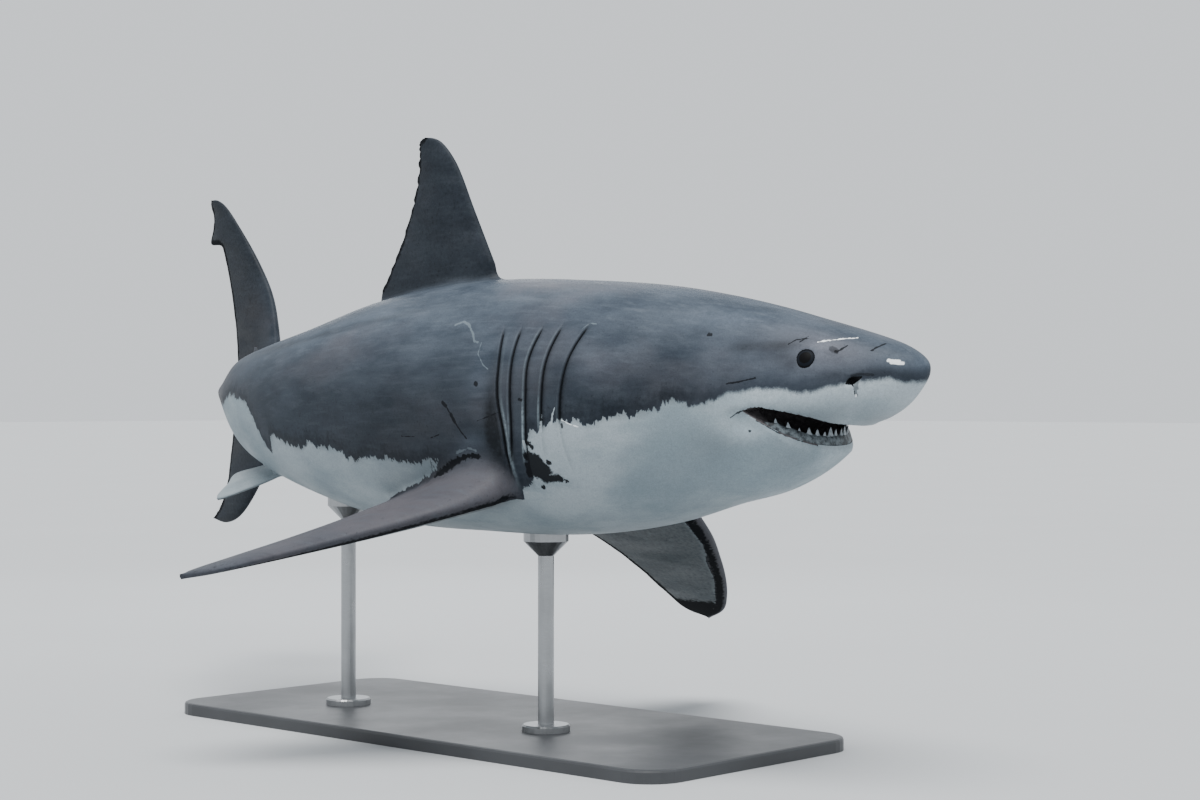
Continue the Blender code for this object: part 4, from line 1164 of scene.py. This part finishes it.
def skinMaterial(name, region):
    material, tree, shader = newMaterial(name)
    place = attributeOf(tree, "place", "Vector")
    sideView = attributeOf(tree, "sideView", "Vector")
    tones = skinTones
    patterns = {pattern: noiseOn(tree, place, *skinPatterns[pattern])
                for pattern in ("fine", "small", "cloud", "broad", "streak", "thread")}
    fine, small, cloud, broad, streak = list(patterns.values())[:5]

    # the grey back, with lengthwise streaks
    colour = mixColour(tree, step(tree, cloud, 0.30, 0.70), tones["backDeep"], tones["backLight"])
    colour = mixColour(tree, 0.66, colour, tones["back"])
    warmth = calc(tree, "MULTIPLY_ADD", step(tree, broad, 0.45, 0.72), 0.35,
                  calc(tree, "MULTIPLY", attributeOf(tree, "warm"), 0.75), clamp=True)
    colour = mixColour(tree, warmth, colour, tones["warm"])
    colour = layered(tree, colour, tones["backLayers"], patterns)

    # the ragged border to the white underside, finer on the head
    pale = attributeOf(tree, "pale")
    flame = noiseOn(tree, place, *skinPatterns["flame"])
    tooth = noiseOn(tree, place, *skinPatterns["tooth"])
    backOf = addNode(tree, "ShaderNodeSeparateXYZ", {0: place}).outputs[0]
    ragged = step(tree, backOf, 0.44, 0.72, 0.25, 1.0)
    tatters = swing(tree, tooth, 0.034, swing(tree, flame, 0.080))
    edge = swing(tree, fine, 0.008, calc(tree, "MULTIPLY_ADD", tatters, ragged, pale))
    softness = step(tree, backOf, 0.45, 0.80, 0.0090, 0.0022)
    white = step(tree, edge, calc(tree, "MULTIPLY", softness, -1.0), softness)
    # the grey darker just above the border: partly the skin's own tone, partly painted shade of the
    # lower flank
    nearEdge = step(tree, swing(tree, small, 0.05, edge), -0.060, -0.004, 0.0, 0.60)
    colour = mixColour(tree, nearEdge, colour, tones["backDeep"])
    under = layered(tree, tones["white"], tones["whiteLayers"], patterns)
    colour = mixColour(tree, white, colour, under)

    # soft shading and light
    mottled = swing(tree, small, 0.7, 1.0)
    depth = calc(tree, "MULTIPLY", attributeOf(tree, "shade"), mottled)
    speckle = swing(tree, fine, 0.50, swing(tree, small, 0.40, 1.0))
    factor = calc(tree, "MAXIMUM", calc(tree, "MULTIPLY_ADD", depth, -0.85, 1.0), 0.16)
    factor = calc(tree, "MULTIPLY", factor, speckle)
    colour = addNode(tree, "ShaderNodeVectorMath", {0: colour, "Scale": factor},
                     operation="SCALE").outputs[0]

    # dark tips and rims of the fins
    dark = attributeOf(tree, "dark")
    worn = swing(tree, cloud, 0.5, swing(tree, small, 0.8, dark))
    tip = calc(tree, "MULTIPLY", step(tree, worn, 0.30, 0.62), step(tree, dark, 0.02, 0.15))
    colour = mixColour(tree, tip, colour, tones["dark"])

    # painted highlight on the gill rims and painted shade in the slits
    rim = calc(tree, "MULTIPLY", attributeOf(tree, "rimHighlight"),
               step(tree, small, 0.30, 0.65, 0.35, 0.95))
    colour = mixColour(tree, rim, colour, tones["paleMark"])
    slit = step(tree, attributeOf(tree, "slitShade"), 0.25, 0.80, 0.0, 0.88)
    colour = mixColour(tree, slit, colour, tones["dark"])

    # single marks
    wobble = swing(tree, small, 0.0080)
    wide = swing(tree, noiseOn(tree, place, *skinPatterns["blot"]), 0.034)
    matte = calc(tree, "MAXIMUM", slit, tip)
    for kind, strength, tone in tones["marks"]:
        ragged = wide if kind in ("blotchAndShadow", "wisp") else wobble
        mask = paintMarks(tree, skinMark, sideView, kind, region, ragged)
        if mask:
            mask = calc(tree, "MULTIPLY", mask, strength)
            colour = mixColour(tree, mask, colour, tones[tone])
            if tone == "dark":
                matte = calc(tree, "MAXIMUM", matte, mask)
    tree.links.new(colour, shader.inputs["Base Color"])

    gloss = step(tree, cloud, 0.3, 0.7, *tones["roughness"])
    tree.links.new(calc(tree, "MAXIMUM", gloss, calc(tree, "MULTIPLY", matte, 0.9)),
                   shader.inputs["Roughness"])
    shader.inputs["Specular IOR Level"].default_value = tones["shine"]
    grain = bumpOf(tree, fine, tones["grain"], 0.6)
    tree.links.new(bumpOf(tree, streak, tones["wrinkle"], 0.35, grain), shader.inputs["Normal"])
    return material


fleshTones = dict(  # light tone, deep tone, roughness, shine
    mouthLining=((0.115, 0.108, 0.114), (0.064, 0.060, 0.064), (0.60, 0.75), 0.05),
    # near black: painted shade inside the eye sockets and the nostrils
    socketShadeLining=((0.020, 0.021, 0.024), (0.008, 0.009, 0.010), (0.60, 0.75), 0.05),
    gumFlesh=((0.150, 0.182, 0.200), (0.022, 0.027, 0.032), (0.40, 0.55), 0.30))


def fleshMaterial(name):
    light, deep, roughness, shine = fleshTones[name]
    material, tree, shader = newMaterial(name)
    where = objectPlace(tree)
    blots = noiseOn(tree, where, 60, 5, 0.65)
    fineBlots = noiseOn(tree, where, 210, 3, 0.6)
    colour = mixColour(tree, step(tree, blots, 0.35, 0.65), deep, light)
    colour = mixColour(tree, step(tree, fineBlots, 0.55, 0.75, 0.0, 0.5), colour, deep)
    shader.inputs["Specular IOR Level"].default_value = shine
    finish(tree, shader, colour, blots, roughness, blots, 0.003, 0.6)
    return material


skinMark = strokeGroup()
for region, name in enumerate(finishes):
    made = fleshMaterial(name) if name in fleshTones else skinMaterial(name, region)
    skin.data.materials.append(made)
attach(skin, "root")
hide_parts("head", "lower_jaw", "gill_region", "fore_trunk", "rear_trunk", "tail_stock",
            "peduncle", "first_dorsal_fin", "second_dorsal_fin", "anal_fin", "caudal_fin_upper",
            "caudal_fin_lower", "pectoral_fin_left", "pectoral_fin_right", "pelvic_fin_left",
            "pelvic_fin_right")


gum = dict(front=0.0712, reach=0.0290, half=0.0415, curve=2.25, thick=0.0024, foot=0.0032,
           high=0.0060, steps=72)
teeth = dict(pairs=8, first=0.08, last=0.90, high=0.0072, wide=0.0084, thick=0.0019, sunk=0.38,
             enamel=(0.27, 0.31, 0.34), stained=(0.13, 0.16, 0.18), roughness=(0.22, 0.42))


def gumPlace(across):
    left = gum["half"] * across
    back = gum["front"] + gum["reach"] * abs(across) ** gum["curve"]
    return np.array([back, left, lipUp(back)])


def gumRun(across):
    along = gumPlace(across + 0.01)[:2] - gumPlace(across - 0.01)[:2]
    along /= np.linalg.norm(along)
    return np.array([*along, 0.0]), np.array([-along[1], along[0], 0.0])


def makeGum():
    rows = []
    angle = 2 * math.pi * np.arange(20) / 20
    for k, across in enumerate(np.linspace(-1, 1, gum["steps"])):
        middle = gumPlace(across)
        out = gumRun(across)[1]
        lump = noise.noise(Vector((k * 0.6, 0.3, 0.0))) * 0.0007
        taper = min(1.0, (1 - abs(across)) * 9 + 0.12)
        high = (gum["high"] + lump) * (1 - 0.35 * abs(across)) * taper
        rise = np.sin(angle)
        up = np.where(rise > 0, rise * high, rise * gum["foot"])
        thick = gum["thick"] * taper * (1 - 0.25 * np.maximum(rise, 0))
        rows.append(middle + out * (np.cos(angle) * thick)[:, None]
                    + np.array([0, 0, 1.0]) * up[:, None])
    bm = gridMesh(np.array(rows) * length, wrap=1, cap=True)
    return makeObject("lowerGum", bm)


def makeTeeth():
    shares = np.linspace(teeth["first"], teeth["last"], teeth["pairs"])
    row = bmesh.new()
    for number, across in enumerate(np.concatenate([-shares[::-1], shares])):
        middle = gumPlace(across)
        along, out = gumRun(across)
        size = (1 - 0.50 * abs(across)) * (1.0 + 0.22 * math.sin(number * 2.3))
        high = teeth["high"] * size
        foot = gum["high"] * (1 - 0.35 * abs(across)) * (1 - teeth["sunk"])
        bm = bmesh.new()
        bmesh.ops.create_cone(bm, segments=16, radius1=0.5, radius2=0.02, depth=1.0,
                              cap_ends=True)
        upright = [e for e in bm.edges if abs(e.verts[0].co.z - e.verts[1].co.z) > 0.5]
        bmesh.ops.subdivide_edges(bm, edges=upright, cuts=4, use_grid_fill=True)
        for vert in bm.verts:
            rise = vert.co.z + 0.5
            narrow = 1 - 0.25 * math.sin(math.pi * rise) ** 2
            lean = 0.0012 * (rise ** 2 - 0.4 * rise)
            spot = (middle + along * vert.co.x * teeth["wide"] * size * narrow
                    + out * (vert.co.y * teeth["thick"] + lean)
                    + np.array([0, 0, foot + rise * high]))
            vert.co = Vector(spot) * length
        bmesh.ops.recalc_face_normals(bm, faces=bm.faces)
        single = bpy.data.meshes.new("tooth")
        bm.to_mesh(single)
        bm.free()
        row.from_mesh(single)
        bpy.data.meshes.remove(single)
    return makeObject("lowerTeeth", row)


def enamelMaterial():
    material, tree, shader = newMaterial("toothEnamel")
    where = objectPlace(tree)
    stain = noiseOn(tree, where, 90, 4, 0.6)
    ridges = noiseOn(tree, where, 420, 2, 0.5, stretch=(1, 1, 0.15))
    colour = mixColour(tree, step(tree, stain, 0.40, 0.68), teeth["enamel"], teeth["stained"])
    finish(tree, shader, colour, stain, teeth["roughness"], ridges, 0.0004, 0.4)
    return material


print("stage: gum and teeth")
lowerGum = makeGum()
lowerGum.data.materials.append(fleshMaterial("gumFlesh"))
lowerTeeth = makeTeeth()
lowerTeeth.data.materials.append(enamelMaterial())
for piece in (lowerGum, lowerTeeth):
    layAlongCurve(piece)
    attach(piece, "root")


def eyeMaterial():
    material, tree, shader = newMaterial("wetEye")
    fibres = noiseOn(tree, objectPlace(tree), 300, 3, 0.6)
    ringEdge = swing(tree, fibres, 0.10, attributeOf(tree, "fromAxis"))
    colour = mixColour(tree, step(tree, ringEdge, 0.56, 0.70), eye["pupil"], eye["iris"])
    colour = mixColour(tree, step(tree, ringEdge, 0.84, 0.93), colour, eye["rim"])
    tree.links.new(colour, shader.inputs["Base Color"])
    shader.inputs["Roughness"].default_value = eye["roughness"]
    shader.inputs["Specular IOR Level"].default_value = eye["shine"]
    return material


print("stage: eyes")
wetEye = eyeMaterial()
for side, sign in (("left", 1), ("right", -1)):
    here, out, turn = eyeSeat(sign)
    bm = bmesh.new()
    sunk = math.sqrt(eye["radius"] ** 2 - eye["showing"] ** 2)
    centre = here - out * (sunk * eye["flat"] + eye["inset"])
    radii = (eye["radius"], eye["radius"], eye["radius"] * eye["flat"])
    ballMesh(bm, centre, radii, turn, segments=64, rings=40)
    spread = [((v.co - centre) - out * (v.co - centre).dot(out)).length for v in bm.verts]
    ball = makeObject("eyeball_" + side, bm)
    addField(ball.data, "fromAxis", [s / eye["showing"] for s in spread])
    layAlongCurve(ball)
    ball.data.materials.append(wetEye)
    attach(ball, "root")
    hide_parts("eye_" + side)


standLook = dict(
    paint=((0.030, 0.032, 0.036), (0.042, 0.045, 0.050)), paintRoughness=(0.34, 0.48),
    steel=((0.30, 0.31, 0.32), (0.42, 0.43, 0.44)), steelRoughness=(0.26, 0.40))


def paintMaterial():
    material, tree, shader = newMaterial("standPaint")
    where = objectPlace(tree)
    peel = noiseOn(tree, where, 320, 2, 0.5)
    haze = noiseOn(tree, where, 2.5, 5, 0.6)
    colour = mixColour(tree, step(tree, haze, 0.35, 0.70), *standLook["paint"])
    finish(tree, shader, colour, haze, standLook["paintRoughness"], peel, 0.0003, 0.35)
    return material


def steelMaterial():
    material, tree, shader = newMaterial("brushedRod")
    where = objectPlace(tree)
    lines = noiseOn(tree, where, 900, 2, 0.5, stretch=(0.05, 0.05, 1))
    haze = noiseOn(tree, where, 12, 4, 0.6)
    colour = mixColour(tree, lines, *standLook["steel"])
    shader.inputs["Metallic"].default_value = 1.0
    finish(tree, shader, colour, haze, standLook["steelRoughness"], lines, 0.0002, 0.3)
    return material


print("stage: stand")
standPaint, brushedRod = paintMaterial(), steelMaterial()
for name, material in (("stand_base", standPaint), ("stand_rod_front", brushedRod),
                       ("stand_rod_rear", brushedRod)):
    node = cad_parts[name]
    for place in node.material_slots:
        place.material = material

studio = dict(
    floor=((0.404, 0.419, 0.434), (0.424, 0.439, 0.454)), floorSize=90,
    floorRoughness=0.85, floorShine=0.1,
    air=(0.92, 0.96, 1.00, 1), airStrength=1.00,
    lights=(  # name, kind, place, aim, power, tint, width in metres or, for a sun, in degrees
        ("overhead", "SUN", (1.0, -1.6, 5.4), (0.0, 0.0, 0.0), 5.2, (1.0, 0.99, 0.97), 40),
        ("back", "AREA", (-4.5, 4.0, 3.6), (-0.4, 0.0, 1.1), 60, (0.94, 0.97, 1.0), 3.0)),
    cameraPlace=(5.244, -5.131, 1.065), cameraTurn=(90, 0, 43), lens=68.07)


def makeFloor():
    bm = bmesh.new()
    bmesh.ops.create_grid(bm, x_segments=8, y_segments=8, size=studio["floorSize"])
    made = makeObject("studioFloor", bm)
    material, tree, shader = newMaterial("studioFloor")
    haze = noiseOn(tree, objectPlace(tree), 0.8, 4, 0.5)
    tree.links.new(mixColour(tree, haze, *studio["floor"]), shader.inputs["Base Color"])
    shader.inputs["Roughness"].default_value = studio["floorRoughness"]
    shader.inputs["Specular IOR Level"].default_value = studio["floorShine"]
    made.data.materials.append(material)
    return made


def addLight(name, kind, spot, aim, power, tint, size):
    lamp = bpy.data.lights.new(name, kind)
    lamp.energy = power
    lamp.color = tint
    if kind == "SUN":
        lamp.angle = math.radians(size)
    else:
        lamp.size = size
    obj = placeObject(name, lamp)
    obj.location = spot
    obj.rotation_euler = (Vector(aim) - Vector(spot)).to_track_quat("-Z", "Y").to_euler()


def addCamera():
    data = bpy.data.cameras.new("camera")
    data.lens = studio["lens"]
    data.sensor_width = 36.0
    data.clip_end = 200.0
    camera = placeObject("camera", data)
    camera.location = studio["cameraPlace"]
    camera.rotation_euler = [math.radians(turn) for turn in studio["cameraTurn"]]
    bpy.context.scene.camera = camera


print("stage: studio")
floor = makeFloor()
world = bpy.data.worlds.new("studio")
bpy.context.scene.world = world
world.use_nodes = True
world.node_tree.nodes["Background"].inputs["Color"].default_value = studio["air"]
world.node_tree.nodes["Background"].inputs["Strength"].default_value = studio["airStrength"]
for light in studio["lights"]:
    addLight(*light)
addCamera()

for leftover in list(plainSlots):
    bpy.data.materials.remove(leftover)
print("stage: done")
